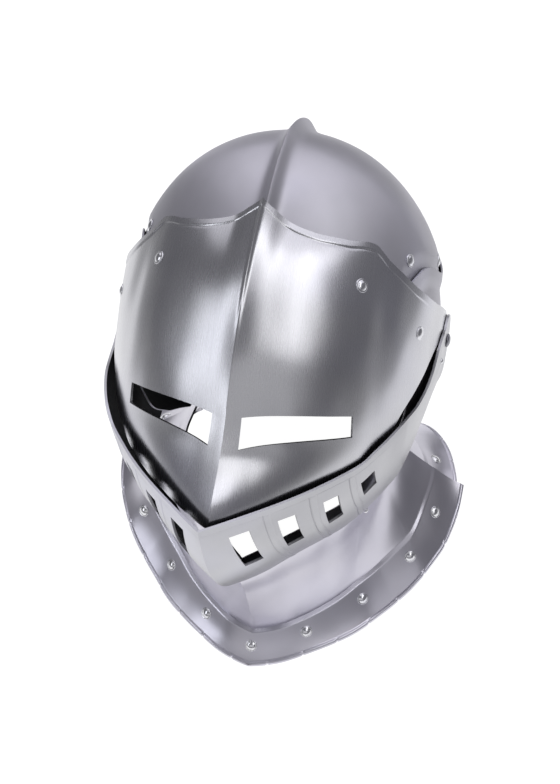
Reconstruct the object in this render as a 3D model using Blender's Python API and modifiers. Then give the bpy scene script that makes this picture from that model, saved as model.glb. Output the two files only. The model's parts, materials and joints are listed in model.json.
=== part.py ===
"""Visored close helmet (armet) with a two-plate gorget, built from separate raised steel plates.

Helmet frame while shaping, in millimetres: X to the wearer's left, F to the front, Z up, origin at
the middle of the skull.  The finished helmet is tipped back until it stands on its gorget, in metres.
"""
import math
import bmesh
import bpy
import numpy as np
from mathutils import Matrix

# ------------------------------------------------------------------ driving dimensions (mm, degrees)
SHEET = 1.6                    # plate thickness
LAP_SHEET = 1.4                # nape plate thickness
GAP = 0.35                     # clearance between separate pieces
SKULL_A, SKULL_B, SKULL_C = 107.4, 122.7, 134.5
SKULL_P, SKULL_Q = 2.046, 1.743
COMB_H, COMB_FOOT, COMB_W = 8.6, 5.0, 4.2   # medial comb: full height, height at the brow, half-width
PIVOT_F, PIVOT_Z = -12.0, -7.0
PIN_R, PIN_HOLE_R = 2.7, 3.3
PIN_SIDES = 12
SKULL_PIVOT_X = 104.0          # outer face of the nape plate at the pivot
HEAD_R, HEAD_H = 4.6, 2.2
VISOR_EAR_R, VISOR_EAR_X = 18.0, 106.1
BEVOR_EAR_R, BEVOR_EAR_X = 18.0, 108.4
BEVOR_SHIFT = 4.0              # keel of the bevor stands this far to the wearer's right
RIM_T = 4.4                    # rolled rim thickness
PLAIN_COLS = 3                 # grid columns at the side joint whose rim is left as plain sheet
STEP_H = 2.2                   # embossed step height
RIVET_R, RIVET_H = 4.3, 1.9
RIVET_SIDES = 8
SEAT = 0.9                     # clearance under a rivet head, measured at its middle
STUD_R, STUD_H = 2.0, 1.2
VISOR_RIVETS = ((63.8, 49.1, "brow"), (39.6, 39.2, "side"))     # phi and theta
SKULL_RIVETS = ((-15.0, 41.6, "front"), (13.5, 25.6, "rear"))   # direction and height angle
FRONT_RIVETS = ((5.7, 11.7, "a"), (5.7, 7.6, "b"), (5.7, 4.3, "c"), (5.7, 1.96, "d"))  # row, column
BACK_RIVETS = ((6.8, 2.3, "a"), (6.6, 7.6, "b"))
THROAT_STUD = (1.43, 7.12)
ARM_STUD = (12.8, 3.0)
TIP_F, TIP_Z = 117.0, -227.0   # gorget tip
HEEL_F, HEEL_Z = -128.0, -184.0  # middle of the back rim
FOOT = 1.2                     # rim edge lower than this is dressed flat
RIM_ROWS = 4                   # rows of the gorget sheet that make up the rim
WINDOW_ROW = 3                 # row of grid cells that holds the sight slits and the windows
MM = 0.001

# ------------------------------------------------------------------ clean slate
for old in list(bpy.data.objects):
    bpy.data.objects.remove(old, do_unlink=True)
for block in (bpy.data.meshes, bpy.data.materials):
    for item in list(block):
        block.remove(item)

HELMET = bpy.data.collections.new("armet")
bpy.context.scene.collection.children.link(HELMET)


def material(name, colour, rough):
    mat = bpy.data.materials.new(name)
    mat.use_nodes = True
    node = mat.node_tree.nodes["Principled BSDF"]
    node.inputs["Base Color"].default_value = (*colour, 1.0)
    node.inputs["Metallic"].default_value = 1.0
    node.inputs["Roughness"].default_value = rough
    return mat


SKULL_STEEL = (0.50, 0.50, 0.54)
VISOR_STEEL = (0.58, 0.58, 0.61)
BEVOR_STEEL = (0.62, 0.62, 0.65)
GORGET_STEEL = (0.56, 0.56, 0.61)
RIVET_STEEL = (0.72, 0.72, 0.74)
PIN_STEEL = (0.40, 0.40, 0.43)


# ------------------------------------------------------------------ resting placement
TILT = math.atan2(HEEL_Z - TIP_Z, TIP_F - HEEL_F)
REST_ROT = Matrix.Rotation(-TILT, 4, "X")


def rest_height(f, z):
    return f * math.sin(TILT) + z * math.cos(TILT)


FLOOR = rest_height(TIP_F, TIP_Z) + 0.5
BACK_SHIFT = 40.05             # centres the bounding box front to back
REST = Matrix.Translation((0.0, BACK_SHIFT * MM, -FLOOR * MM)) @ REST_ROT


# ------------------------------------------------------------------ curves and tables
def smooth(knots, values, at):
    """Monotone cubic through values (K, ...) at knots, read at positions broadcast to one table."""
    knots = np.asarray(knots, float)
    values = np.asarray(values, float)
    at = np.clip(np.asarray(at, float), knots[0], knots[-1])
    tail = (1,) * (values.ndim - 1)
    h = np.diff(knots).reshape((-1,) + tail)
    d = np.diff(values, axis=0) / h
    m = np.zeros_like(values)
    w1 = 2.0 * h[1:] + h[:-1]
    w2 = h[1:] + 2.0 * h[:-1]
    same = d[1:] * d[:-1] > 0
    safe0 = np.where(same, d[:-1], 1.0)
    safe1 = np.where(same, d[1:], 1.0)
    m[1:-1] = np.where(same, (w1 + w2) / (w1 / safe0 + w2 / safe1), 0.0)
    m[0] = d[0]
    m[-1] = d[-1]
    k = np.clip(np.searchsorted(knots, at, side="right") - 1, 0, len(knots) - 2)
    step = knots[k + 1] - knots[k]
    t = (at - knots[k]) / step
    if values.ndim == 1:
        v0, v1, m0, m1 = values[k], values[k + 1], m[k], m[k + 1]
    else:
        pick = np.arange(values.shape[1])
        v0, v1, m0, m1 = values[k, pick], values[k + 1, pick], m[k, pick], m[k + 1, pick]
    a = 2 * t ** 3 - 3 * t ** 2 + 1
    b = t ** 3 - 2 * t ** 2 + t
    c = -2 * t ** 3 + 3 * t ** 2
    e = t ** 3 - t ** 2
    return a * v0 + b * step * m0 + c * v1 + e * step * m1


def table(phi_knots, stations, rows, phi, theta):
    """Radius read from a table: first along phi for every theta station, then along theta."""
    phi = np.asarray(phi, float).ravel()
    theta = np.asarray(theta, float).ravel()
    along = np.array([smooth(phi_knots, row, phi) for row in rows])
    return smooth(stations, along, theta)


def fan_point(phi, theta, rho, side):
    """Point at angle phi from the pivot axis and theta round it, X, F, Z."""
    p = np.radians(phi)
    t = np.radians(theta)
    r = rho * np.sin(p)
    return np.stack([side * rho * np.cos(p), PIVOT_F + r * np.cos(t), PIVOT_Z + r * np.sin(t)], -1)


def skull_radius(d):
    """Distance from the origin to the skull along unit directions d (..., 3)."""
    s = (np.abs(d[..., 1]) / SKULL_B) ** SKULL_Q + (np.abs(d[..., 2]) / SKULL_C) ** SKULL_Q
    e = (np.abs(d[..., 0]) / SKULL_A) ** SKULL_P + s ** (SKULL_P / SKULL_Q)
    return e ** (-1.0 / SKULL_P)


def direction(az, beta):
    """Unit direction: az from +X towards the back, beta up."""
    a = np.radians(az)
    b = np.radians(beta)
    return np.stack([np.cos(b) * np.cos(a), -np.cos(b) * np.sin(a), np.sin(b)], -1)


# ------------------------------------------------------------------ plates
def grid_quads(rows, cols, skip=()):
    quads = []
    for i in range(rows - 1):
        for j in range(cols - 1):
            if (i, j) not in skip:
                a = i * cols + j
                quads.append((a, a + 1, a + cols + 1, a + cols))
    return quads


def plate_mesh(points, quads, thick):
    """Closed plate that changes thickness from row to row: outer sheet, inner sheet and edge walls."""
    v = np.asarray(points, float)
    q = np.asarray(quads, int)
    e1 = v[q[:, 2]] - v[q[:, 0]]
    e2 = v[q[:, 3]] - v[q[:, 1]]
    fn = np.cross(e1, e2)
    n = np.zeros_like(v)
    for k in range(4):
        np.add.at(n, q[:, k], fn)
    n /= np.maximum(np.linalg.norm(n, axis=1, keepdims=True), 1e-9)
    inner = v - n * np.reshape(thick, (-1, 1))
    count = len(v)
    ring = np.concatenate([q[:, [0, 1]], q[:, [1, 2]], q[:, [2, 3]], q[:, [3, 0]]])
    seen = {(int(a), int(b)) for a, b in ring}
    walls = [(b, a, a + count, b + count) for a, b in sorted(seen) if (b, a) not in seen]
    faces = [tuple(int(i) for i in f) for f in q]
    faces += [tuple(int(i) + count for i in f[::-1]) for f in q]
    faces += walls
    return np.concatenate([v, inner]), faces


def add_piece(name, verts, faces, mat, origin=(0.0, 0.0, 0.0)):
    """Mesh object from helmet-frame points; origin is given in the helmet frame too."""
    local = (np.asarray(verts, float) - np.asarray(origin, float)) * MM
    local[:, 1] *= -1.0
    faces = [tuple(int(i) for i in reversed(f)) for f in faces]
    mesh = bpy.data.meshes.new(name)
    mesh.from_pydata([tuple(p) for p in local], [], faces)
    mesh.materials.append(mat)
    mesh.update()
    obj = bpy.data.objects.new(name, mesh)
    HELMET.objects.link(obj)
    place = Matrix.Translation((origin[0] * MM, -origin[1] * MM, origin[2] * MM))
    obj.matrix_world = REST @ place
    return obj


def thicken(obj, thick):
    """Solidify the outer sheet inward to an even thickness in mm."""
    solid = obj.modifiers.new("plate_thickness", "SOLIDIFY")
    solid.thickness = thick * MM
    solid.offset = -1.0
    return obj


def outward(points, quads, inside=(0.0, 0.0, -40.0)):
    """Quads turned so that the sheet faces away from a point inside it."""
    v = np.asarray(points, float)
    q = np.asarray(quads, int)
    fn = np.cross(v[q[:, 2]] - v[q[:, 0]], v[q[:, 3]] - v[q[:, 1]])
    mid = v[q].mean(axis=1) - np.array(inside)
    if (fn * mid).sum() < 0:
        return [tuple(f[::-1]) for f in quads]
    return quads


PIVOT = (0.0, PIVOT_F, PIVOT_Z)


def fan_plate(phis, theta_of, rho_of, ear_r, ear_x, skip, spare=9, shift=0.0):
    """Sheet swept round the pivot axis from one ear to the other, each ear a ring round its pin.

    phis runs from the ear to the middle; theta_of(phi) gives the row angles from bottom to top.
    """
    half = len(phis)
    cols = 2 * half - 1
    thetas = np.array([theta_of(p) for p in phis])
    rows = thetas.shape[1]
    grid = np.zeros((rows, cols, 3))
    for i in range(rows):
        rho = rho_of(np.array(phis), thetas[:, i], i)
        right = fan_point(np.array(phis), thetas[:, i], rho, 1.0)
        grid[i, half - 1:] = right[::-1]
        left = right * np.array([-1.0, 1.0, 1.0])
        grid[i, :half] = left
    mid = np.sin(np.radians(np.array(phis))) ** 2
    grid[:, :half, 0] -= shift * mid
    grid[:, half:, 0] -= shift * mid[::-1][1:]
    verts = [tuple(p) for p in grid.reshape(-1, 3)]
    quads = grid_quads(rows, cols, skip)
    for side, col in ((1.0, cols - 1), (-1.0, 0)):
        angles = list(thetas[0])
        extra = np.linspace(angles[-1], angles[0] + 360.0, spare + 2)[1:-1]
        rim = [i * cols + col for i in range(rows)]
        for a in extra:
            t = math.radians(a)
            rim.append(len(verts))
            verts.append((side * ear_x, PIVOT_F + ear_r * math.cos(t), PIVOT_Z + ear_r * math.sin(t)))
        angles += list(extra)
        for r in (0.55 * ear_r, PIN_HOLE_R):
            ring = []
            for a in angles:
                t = math.radians(a)
                ring.append(len(verts))
                verts.append((side * ear_x, PIVOT_F + r * math.cos(t), PIVOT_Z + r * math.sin(t)))
            for k in range(len(ring)):
                m = (k + 1) % len(ring)
                face = (rim[k], ring[k], ring[m], rim[m])
                quads.append(face if side > 0 else face[::-1])
            rim = ring
    return np.array(verts), quads


# ------------------------------------------------------------------ skull bowl with comb
SEAM_AZ = (-60.0, -38.0, -18.0, -11.0, -6.0, 0.0, 6.4, 13.0, 25.0, 45.0, 62.0, 78.0, 90.0)
SEAM_BETA = (24.0, 31.0, 36.2, 35.9, 34.6, 30.9, 25.4, 21.4, 19.0, 20.5, 17.5, 18.5, 23.0)


def seam_beta(az):
    """Height angle of the cusped joint between skull bowl and nape plate, the same both sides."""
    az = np.asarray(az, float)
    folded = np.where(az > 90.0, 180.0 - az, az)
    return smooth(SEAM_AZ, SEAM_BETA, folded)


def polar(d):
    """phi from the X axis and theta round it for directions d."""
    phi = np.degrees(np.arccos(np.clip(d[..., 0], -1, 1)))
    return phi, np.degrees(np.arctan2(d[..., 2], d[..., 1]))


def comb_height(x, theta):
    fade = smooth((20.0, 50.0, 118.0, 150.0, 190.0), (COMB_FOOT, COMB_H, COMB_H, 0.2, 0.0), theta)
    return fade * np.exp(-(np.abs(x) / COMB_W) ** 1.5)


NAPE_LIFT = 1.3                # how far the upper edge of the nape plate stands off the skull surface
CHEEK_TUCK = 3.6               # how far its cheeks are set in, to pass inside the visor
LAP_ROOM = 2.7                 # the bowl runs this far inside the outer face of the nape plate


def lap_offset(az, drop):
    """Offset of the nape plate's outer face from the skull surface, drop millimetres below its edge."""
    folded = np.where(az > 90.0, 180.0 - az, az)
    lift = NAPE_LIFT * smooth((0.0, 6.0, 16.0, 400.0), (1.0, 0.85, 0.0, 0.0), drop)
    side = smooth((-40.0, -10.0, 14.0, 50.0, 90.0), (0.6, 1.0, 1.0, 0.0, 0.0), folded)
    return lift - side * CHEEK_TUCK * smooth((0.0, 5.0, 15.0, 400.0), (0.2, 0.5, 1.0, 1.0), drop)


def bowl_inset(d, radius):
    """Change of radius that carries the bowl's margin inside the nape plate."""
    az = np.degrees(np.arctan2(-d[..., 1], d[..., 0]))
    beta = np.degrees(np.arcsin(np.clip(d[..., 2], -1.0, 1.0)))
    drop = np.radians(seam_beta(az) - beta) * radius
    inside = np.minimum(lap_offset(az, np.maximum(drop, 0.0)) - LAP_ROOM, 0.0)
    return inside * smooth((-400.0, -14.0, -2.0, 400.0), (0.0, 0.0, 1.0, 1.0), drop)


COMB_OFFSETS = (0.0, 0.9, 1.9, 3.2, 4.7)
BROW_THETA = 32.0
TUCK = 3.6                     # degrees the bowl runs down inside the nape plate
SIDE_AZ = (-38.0, 60.0)        # the side edge of the bowl runs between these directions


def bowl_sheet(side_cols, rows):
    """Skull bowl as a grid of points: rows front to back, columns right to left, comb in the middle.

    The half-grid blends its four edges: brow, comb line, side joint and back joint.
    """
    v = np.linspace(0.0, 1.0, rows - 2)
    v = np.concatenate([v[:-1], [1.0 - 0.6 * v[1], 1.0 - 0.27 * v[1], 1.0]])
    az_side = SIDE_AZ[0] + (SIDE_AZ[1] - SIDE_AZ[0]) * v
    ps, ts = polar(direction(az_side, seam_beta(az_side) - TUCK))
    half = 90.0 - ps
    lin = np.linspace(0.0, 1.0, side_cols - 1)[1:]
    lin = np.concatenate([lin[:-1], [1.0 - 0.6 * lin[0], 1.0 - 0.27 * lin[0], 1.0]])
    last = COMB_OFFSETS[-1]
    right = np.zeros((rows, len(COMB_OFFSETS) + side_cols, 3))
    for i in range(rows):
        off = np.concatenate([COMB_OFFSETS, last + (half[i] - last) * lin])
        u = off / half[i]
        az_back = 90.0 + (SIDE_AZ[1] - 90.0) * u
        tb = polar(direction(az_back, seam_beta(az_back) - TUCK))[1]
        front = BROW_THETA + (ts[0] - BROW_THETA) * u ** 3
        crown = BROW_THETA + (tb[0] - BROW_THETA) * v[i]
        corner = crown * (1 - u) + (ts[0] * (1 - v[i]) + tb[-1] * v[i]) * u
        theta = crown * (1 - u) + ts[i] * u + front * (1 - v[i]) + tb * v[i] - corner
        phi = np.radians(90.0 - off)
        the = np.radians(theta)
        d = np.stack([np.cos(phi), np.sin(phi) * np.cos(the), np.sin(phi) * np.sin(the)], -1)
        r = skull_radius(d)
        lift = comb_height(r * d[:, 0], theta)
        right[i] = d * (r + lift + bowl_inset(d, r))[:, None]
    left = right[:, 1:][:, ::-1] * np.array([-1.0, 1.0, 1.0])
    return np.concatenate([left, right], axis=1)


# ------------------------------------------------------------------ nape plate
NAPE_BOTTOM = -52.5
CHEEK_T = (0.0, 0.25, 0.45, 0.7, 0.88, 1.0)
CHEEK_AZ = (37.0, 32.0, 30.0, 30.0, 18.0, -2.0)
NAPE_ROWS = (0.0, 0.055, 0.125, 0.24, 0.37, 0.5, 0.64, 0.78, 0.9, 1.0)


def nape_sheet(cols, heights):
    """Nape and cheek plate: rows from the cusped edge down, columns from cheek to cheek."""
    t = np.asarray(heights)
    s = np.linspace(-1.0, 1.0, cols)
    out = np.zeros((len(t), cols, 3))
    for i in range(len(t)):
        az = 90.0 + s * (90.0 + smooth(CHEEK_T, CHEEK_AZ, t[i]))
        folded = np.where(az < 90.0, az, 180.0 - az)
        top = seam_beta(folded)
        beta = top + (NAPE_BOTTOM - top) * t[i]
        d = direction(az, beta)
        r = skull_radius(d)
        drop = np.radians(top - beta) * r
        out[i] = d * (r + lap_offset(folded, drop))[:, None]
    return out


# ------------------------------------------------------------------ visor
VISOR_PHI = (12.9, 26.3, 38.0, 48.8, 55.4, 60.8, 64.9, 69.5, 76.8, 83.7, 87.4, 90.0)
VISOR_THETA = (-10.0, 0.0, 10.0, 16.0, 30.0, 45.0, 62.0)
VISOR_RHO = (
    (108.9, 116.2, 126.2, 137.0, 144.0, 150.5, 155.0, 160.5, 171.0, 185.0, 195.0, 202.5),
    (108.9, 116.3, 127.0, 138.3, 146.3, 153.8, 158.9, 165.0, 177.0, 192.1, 201.8, 208.5),
    (108.9, 116.3, 127.0, 137.3, 145.0, 151.5, 156.0, 160.5, 167.0, 173.5, 178.5, 182.5),
    (108.9, 116.2, 126.2, 136.5, 143.5, 150.0, 154.0, 158.5, 164.0, 168.0, 171.0, 174.0),
    (108.9, 116.0, 125.2, 134.5, 140.0, 146.0, 150.0, 154.0, 158.5, 162.5, 165.0, 166.5),
    (108.9, 115.8, 125.0, 132.5, 136.5, 141.5, 145.0, 148.5, 153.0, 157.0, 160.0, 162.0),
    (108.9, 115.6, 125.0, 131.5, 135.0, 138.0, 140.5, 142.5, 144.8, 147.5, 154.0, 158.5),
)
SLIT_OUT, SLIT_IN = 63.0, 87.0
VISOR_COLS = (9.35, 16.5, 24.5, 33.0, 42.0, 49.5, 55.5, 60.3, SLIT_OUT, 69.0, 75.0, 81.0, SLIT_IN, 88.7, 90.0)


ARM_ROWS = np.array([0.0, 0.07, 0.15, 0.23, 0.31, 0.41, 0.5, 0.6, 0.7, 0.8, 0.92, 1.0])


def visor_rows(phi):
    """Row angles of the visor at phi: tucked edge, crease, slit sill, slit head, and up to the brow."""
    w = np.clip((phi - SLIT_OUT) / (SLIT_IN - SLIT_OUT), -1.0, 1.15)
    arch = 4.6 * np.clip(w, 0.0, 1.0) * (1.0 - np.clip(w, 0.0, 1.0))
    sill = 9.2 + 1.4 * w + arch
    head = 14.9 + 1.7 * w + arch
    low = smooth((9.35, 16.5, 21.0, 24.5, 28.0, 33.0, 37.0, 42.4, 46.8, 51.0, 56.5, 63.0, 69.0, 78.0,
                  84.0, 90.0),
                 (15.0, 36.0, 30.8, 26.0, 21.6, 16.8, 14.2, 10.4, 6.6, 1.5, -6.5, -8.0, -7.0, -4.0,
                  -2.0, -0.3), phi)
    crease = low + 0.3 * (sill - low)
    top = smooth((9.35, 16.5, 24.5, 31.0, 37.5, 43.4, 48.2, 52.5, 56.4, 59.3, 61.5, 65.0, 68.5,
                  72.3, 76.5, 80.5, 84.0, 87.0, 90.0),
                 (110.0, 77.0, 64.2, 59.2, 56.9, 56.7, 57.6, 58.8, 60.0, 61.7, 62.6, 61.7, 60.3,
                  59.6, 59.1, 59.4, 60.3, 61.5, 63.0), phi)
    mid = low + 0.65 * (sill - low)
    upper = head + (top - head) * np.array([0.14, 0.3, 0.47, 0.64, 0.8, 0.93, 1.0])
    framed = np.concatenate([[low, crease, mid, sill, head], upper])
    plain = low + (top - low) * ARM_ROWS
    hold = smooth((9.35, 42.0, 60.0, 90.0), (0.0, 0.0, 1.0, 1.0), phi)
    return plain * (1 - hold) + framed * hold


def visor_rho(phi, theta, row):
    rho = table(VISOR_PHI, VISOR_THETA, VISOR_RHO, phi, theta)
    ear = VISOR_EAR_X / np.cos(np.radians(phi))
    blend = smooth((9.35, 10.5, 18.0, 90.0), (1.0, 0.9, 0.0, 0.0), phi)
    rho = rho * (1 - blend) + np.minimum(ear, 110.6) * blend
    return rho


# ------------------------------------------------------------------ bevor
BEVOR_PHI = (9.2, 19.0, 29.0, 39.0, 46.0, 50.0, 55.0, 60.0, 65.0, 69.0, 74.0, 79.0, 84.0, 90.0)
BEVOR_THETA = (-90.0, -60.0, -38.0, 1.0)
BEVOR_RHO = (
    (109.6, 109.6, 113.3, 123.3, 129.5, 131.5, 135.0, 139.0, 143.0, 146.5, 150.5, 155.5, 161.0, 168.0),
    (109.6, 110.6, 114.9, 123.3, 130.0, 132.0, 137.0, 141.0, 145.0, 148.5, 152.5, 157.5, 164.0, 172.0),
    (109.6, 111.6, 116.8, 125.8, 133.5, 137.0, 141.5, 146.5, 151.5, 155.0, 160.0, 167.0, 176.0, 186.0),
    (110.6, 114.6, 121.2, 131.6, 140.4, 145.8, 152.6, 159.0, 165.6, 171.8, 180.2, 189.6, 200.5, 216.5),
)
WINDOWS = ((54.8, 58.7), (64.5, 68.1), (73.9, 77.3), (82.1, 85.3))
BEVOR_COLS = (9.2, 15.5, 23.0, 31.0, 39.0, 47.0, 54.8, 58.7, 64.5, 68.1, 73.9, 77.3, 82.1, 85.3, 88.0, 90.0)


def bevor_rows(phi):
    """Row angles of the bevor at phi from its lower edge up: edge, body, window sill, head, top."""
    low = smooth((9.2, 19.0, 29.0, 42.5, 46.7, 49.7, 55.2, 59.9, 64.9, 69.0, 74.0, 78.8, 84.1, 90.0),
                 (-100.0, -93.0, -91.0, -89.0, -73.0, -64.0, -57.0, -52.3, -48.3, -47.6, -44.2, -42.0,
                  -38.5, -37.5), phi)
    top = smooth((9.2, 15.5, 20.0, 23.0, 26.0, 29.0, 32.0, 37.0, 43.0, 47.7, 52.0, 55.0, 58.0, 62.0, 90.0),
                 (60.0, 42.0, 27.0, 14.5, 8.6, 5.6, 4.3, 3.7, 4.3, 3.9, 3.1, 2.2, 1.0, 0.8, 1.0), phi)
    sill = smooth((9.2, 30.0, 54.8, 58.7, 66.0, 75.0, 83.0, 90.0),
                  (-20.0, -20.0, -15.8, -16.8, -19.5, -19.7, -18.6, -17.5), phi)
    head = smooth((9.2, 30.0, 54.8, 58.7, 66.0, 75.0, 83.0, 90.0),
                  (20.0, -4.0, -6.0, -7.4, -6.0, -4.8, -3.6, -3.2), phi)
    body = low + (sill - low) * np.array([0.0, 0.34, 0.67])
    return np.concatenate([body, [sill, head, top]])


def bevor_rho(phi, theta, row):
    rho = table(BEVOR_PHI, BEVOR_THETA, BEVOR_RHO, phi, theta)
    ear = BEVOR_EAR_X / np.cos(np.radians(phi))
    blend = smooth((9.2, 12.0, 16.0, 90.0), (1.0, 0.8, 0.0, 0.0), phi)
    return rho * (1 - blend) + np.minimum(ear, 111.8) * blend


# ------------------------------------------------------------------ gorget
def ring_rows(curves, angles, toward):
    """Rows of points from closed-form rings: each curve is (angle knots, radius, height)."""
    out = []
    for knots, radius, height in curves:
        a = angles(knots[0])
        r = smooth(knots, radius, a)
        z = smooth(knots, height, a)
        c = np.radians(a)
        out.append(np.stack([r * np.cos(c), toward * r * np.sin(c), z], -1))
    return np.array(out)


FRONT_TOP = ((-16.0, 0.0, 16.0, 28.6, 40.0, 50.0, 58.5, 67.0, 75.3, 83.6, 90.0),
             (71.0, 70.0, 72.0, 75.2, 78.7, 83.8, 88.0, 94.5, 102.4, 115.7, 127.0),
             (-98.0, -98.0, -98.0, -99.0, -100.0, -101.0, -101.0, -102.0, -103.0, -103.0, -104.0))
FRONT_NECK = ((-15.0, 0.0, 18.4, 30.3, 41.3, 50.3, 58.3, 66.7, 75.0, 83.4, 90.0),
              (76.7, 76.0, 79.0, 83.4, 87.9, 92.3, 95.2, 101.8, 108.7, 121.8, 131.5),
              (-105.0, -105.0, -106.0, -108.0, -110.0, -112.0, -114.0, -115.0, -117.0, -117.0, -118.0))
FRONT_STEP = ((-10.8, -5.4, 2.2, 14.2, 21.7, 30.3, 42.2, 55.2, 68.2, 80.5, 90.0),
              (106.9, 106.0, 104.0, 101.6, 94.7, 89.2, 86.4, 87.7, 91.5, 97.3, 99.5),
              (-131.0, -135.0, -140.0, -155.0, -167.0, -177.0, -185.0, -192.0, -197.0, -201.0, -205.0))
FRONT_RIM = ((-9.0, -3.0, 3.0, 8.9, 14.0, 20.0, 25.0, 31.0, 41.0, 54.0, 66.0, 79.0, 90.0),
             (132.5, 130.5, 128.0, 124.7, 121.5, 118.0, 114.5, 110.5, 107.0, 107.0, 109.0, 114.0, 117.0),
             (-146.0, -157.0, -165.0, -175.0, -180.5, -188.0, -195.0, -202.0, -210.0, -215.5, -218.5,
              -223.0, -227.0))
BACK_TOP = ((10.0, 22.0, 50.0, 90.0), (67.4, 68.8, 72.0, 72.4), (-92.0, -92.0, -92.0, -92.0))
BACK_COLLAR = ((10.0, 22.0, 50.0, 90.0), (67.5, 69.0, 72.2, 72.6), (-101.5, -101.6, -102.0, -102.5))
BACK_NECK = ((11.0, 45.0, 90.0), (73.4, 76.0, 76.0), (-108.2, -109.0, -110.0))
BACK_STEP = ((8.0, 25.0, 45.0, 70.0, 90.0), (103.2, 103.0, 103.6, 103.0, 102.0),
             (-135.6, -137.8, -142.0, -150.0, -154.0))
BACK_RIM = ((6.5, 18.0, 27.0, 37.0, 45.0, 55.0, 63.0, 70.0, 80.0, 90.0),
            (128.2, 128.5, 129.8, 131.5, 132.5, 132.0, 131.0, 130.0, 128.5, 128.0),
            (-156.0, -150.0, -149.8, -152.5, -157.5, -169.5, -180.5, -185.0, -184.3, -184.0))


def between(a, b, t):
    """A curve part-way between two ring curves, on the first one's knots."""
    k = np.array(a[0])
    scaled = b[0][0] + (k - k[0]) / (k[-1] - k[0]) * (b[0][-1] - b[0][0])
    r = np.array(a[1]) * (1 - t) + smooth(b[0], b[1], scaled) * t
    z = np.array(a[2]) * (1 - t) + smooth(b[0], b[2], scaled) * t
    return tuple(scaled * t + k * (1 - t)), tuple(r), tuple(z)


def moved(curve, out, up):
    return curve[0], tuple(np.array(curve[1]) + out), tuple(np.array(curve[2]) + up)


def gorget_curves(collar, neck, step, rim, sag):
    """Rings from the collar to the rolled rim: collar, throat, raised step, band and rim roll."""
    under = moved(step, STEP_H, 0.6 * STEP_H)
    under = moved(under, 0.6, -3.0)
    return (*collar, neck, moved(between(neck, step, 0.33), -sag, 0.0),
            moved(between(neck, step, 0.67), -sag, 0.0), step, under,
            moved(between(under, rim, 0.5), -1.5, -1.5), between(under, rim, 0.9),
            moved(between(under, rim, 0.93), 0.9, 1.6), moved(rim, 0.2, 1.2), rim)


def dressed(points, rows, cols):
    """Rim-edge points that come below the standing height are set on it."""
    flat = points.reshape(2, rows, cols, 3)
    edge = flat[:, -RIM_ROWS:]
    h = rest_height(edge[..., 1], edge[..., 2]) - FLOOR
    move = np.where(h < FOOT, -h, 0.0)
    edge[..., 1] += move * math.sin(TILT)
    edge[..., 2] += move * math.cos(TILT)
    return flat.reshape(-1, 3)


def gorget_plate(name, curves, angles_of, toward, mat, origin=(0.0, 0.0, 0.0)):
    sheet = ring_rows(curves, angles_of, toward)
    rows, cols = sheet.shape[:2]
    thick = np.full((rows, cols), SHEET)
    thick[-3, PLAIN_COLS:-PLAIN_COLS] = 0.7 * RIM_T
    thick[-2:, PLAIN_COLS:-PLAIN_COLS] = RIM_T
    flat = sheet.reshape(-1, 3)
    quads = outward(flat, grid_quads(rows, cols), (0.0, 0.0, -260.0))
    verts, faces = plate_mesh(flat, quads, thick.ravel())
    verts = dressed(verts, rows, cols)
    add_piece(name, verts, faces, mat, origin)
    return sheet


# ------------------------------------------------------------------ rivets and pins
def rounded(obj):
    """Smooth shading for a turned head, with the edges that turn by more than 40 degrees kept sharp."""
    obj.data.shade_smooth()
    obj.data.set_sharp_from_angle(angle=math.radians(40.0))
    return obj


def rivet(name, at, normal, radius, height, mat, origin=(0.0, 0.0, 0.0)):
    """Low domed head: a cone frustum with its shoulder rounded, standing just off the plate."""
    bpy.ops.mesh.primitive_cone_add(vertices=RIVET_SIDES, radius1=radius * MM, radius2=0.62 * radius * MM,
                                    depth=height * MM)
    obj = bpy.context.object
    obj.name = name
    obj.data.name = name
    for coll in list(obj.users_collection):
        coll.objects.unlink(obj)
    HELMET.objects.link(obj)
    n = np.asarray(normal, float)
    n /= np.linalg.norm(n)
    centre = np.asarray(at, float) + n * (SEAT + height / 2.0)
    z = np.array([n[0], -n[1], n[2]])
    x = np.cross([0.0, 0.0, 1.0] if abs(z[2]) < 0.9 else [0.0, 1.0, 0.0], z)
    x /= np.linalg.norm(x)
    y = np.cross(z, x)
    turn = Matrix(((x[0], y[0], z[0], 0), (x[1], y[1], z[1], 0), (x[2], y[2], z[2], 0), (0, 0, 0, 1)))
    offset = (centre - np.asarray(origin, float)) * MM
    shape = Matrix.Translation((offset[0], -offset[1], offset[2])) @ turn
    obj.data.transform(shape)
    obj.data.materials.append(mat)
    place = Matrix.Translation((origin[0] * MM, -origin[1] * MM, origin[2] * MM))
    obj.matrix_world = REST @ place
    return rounded(obj)


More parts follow.
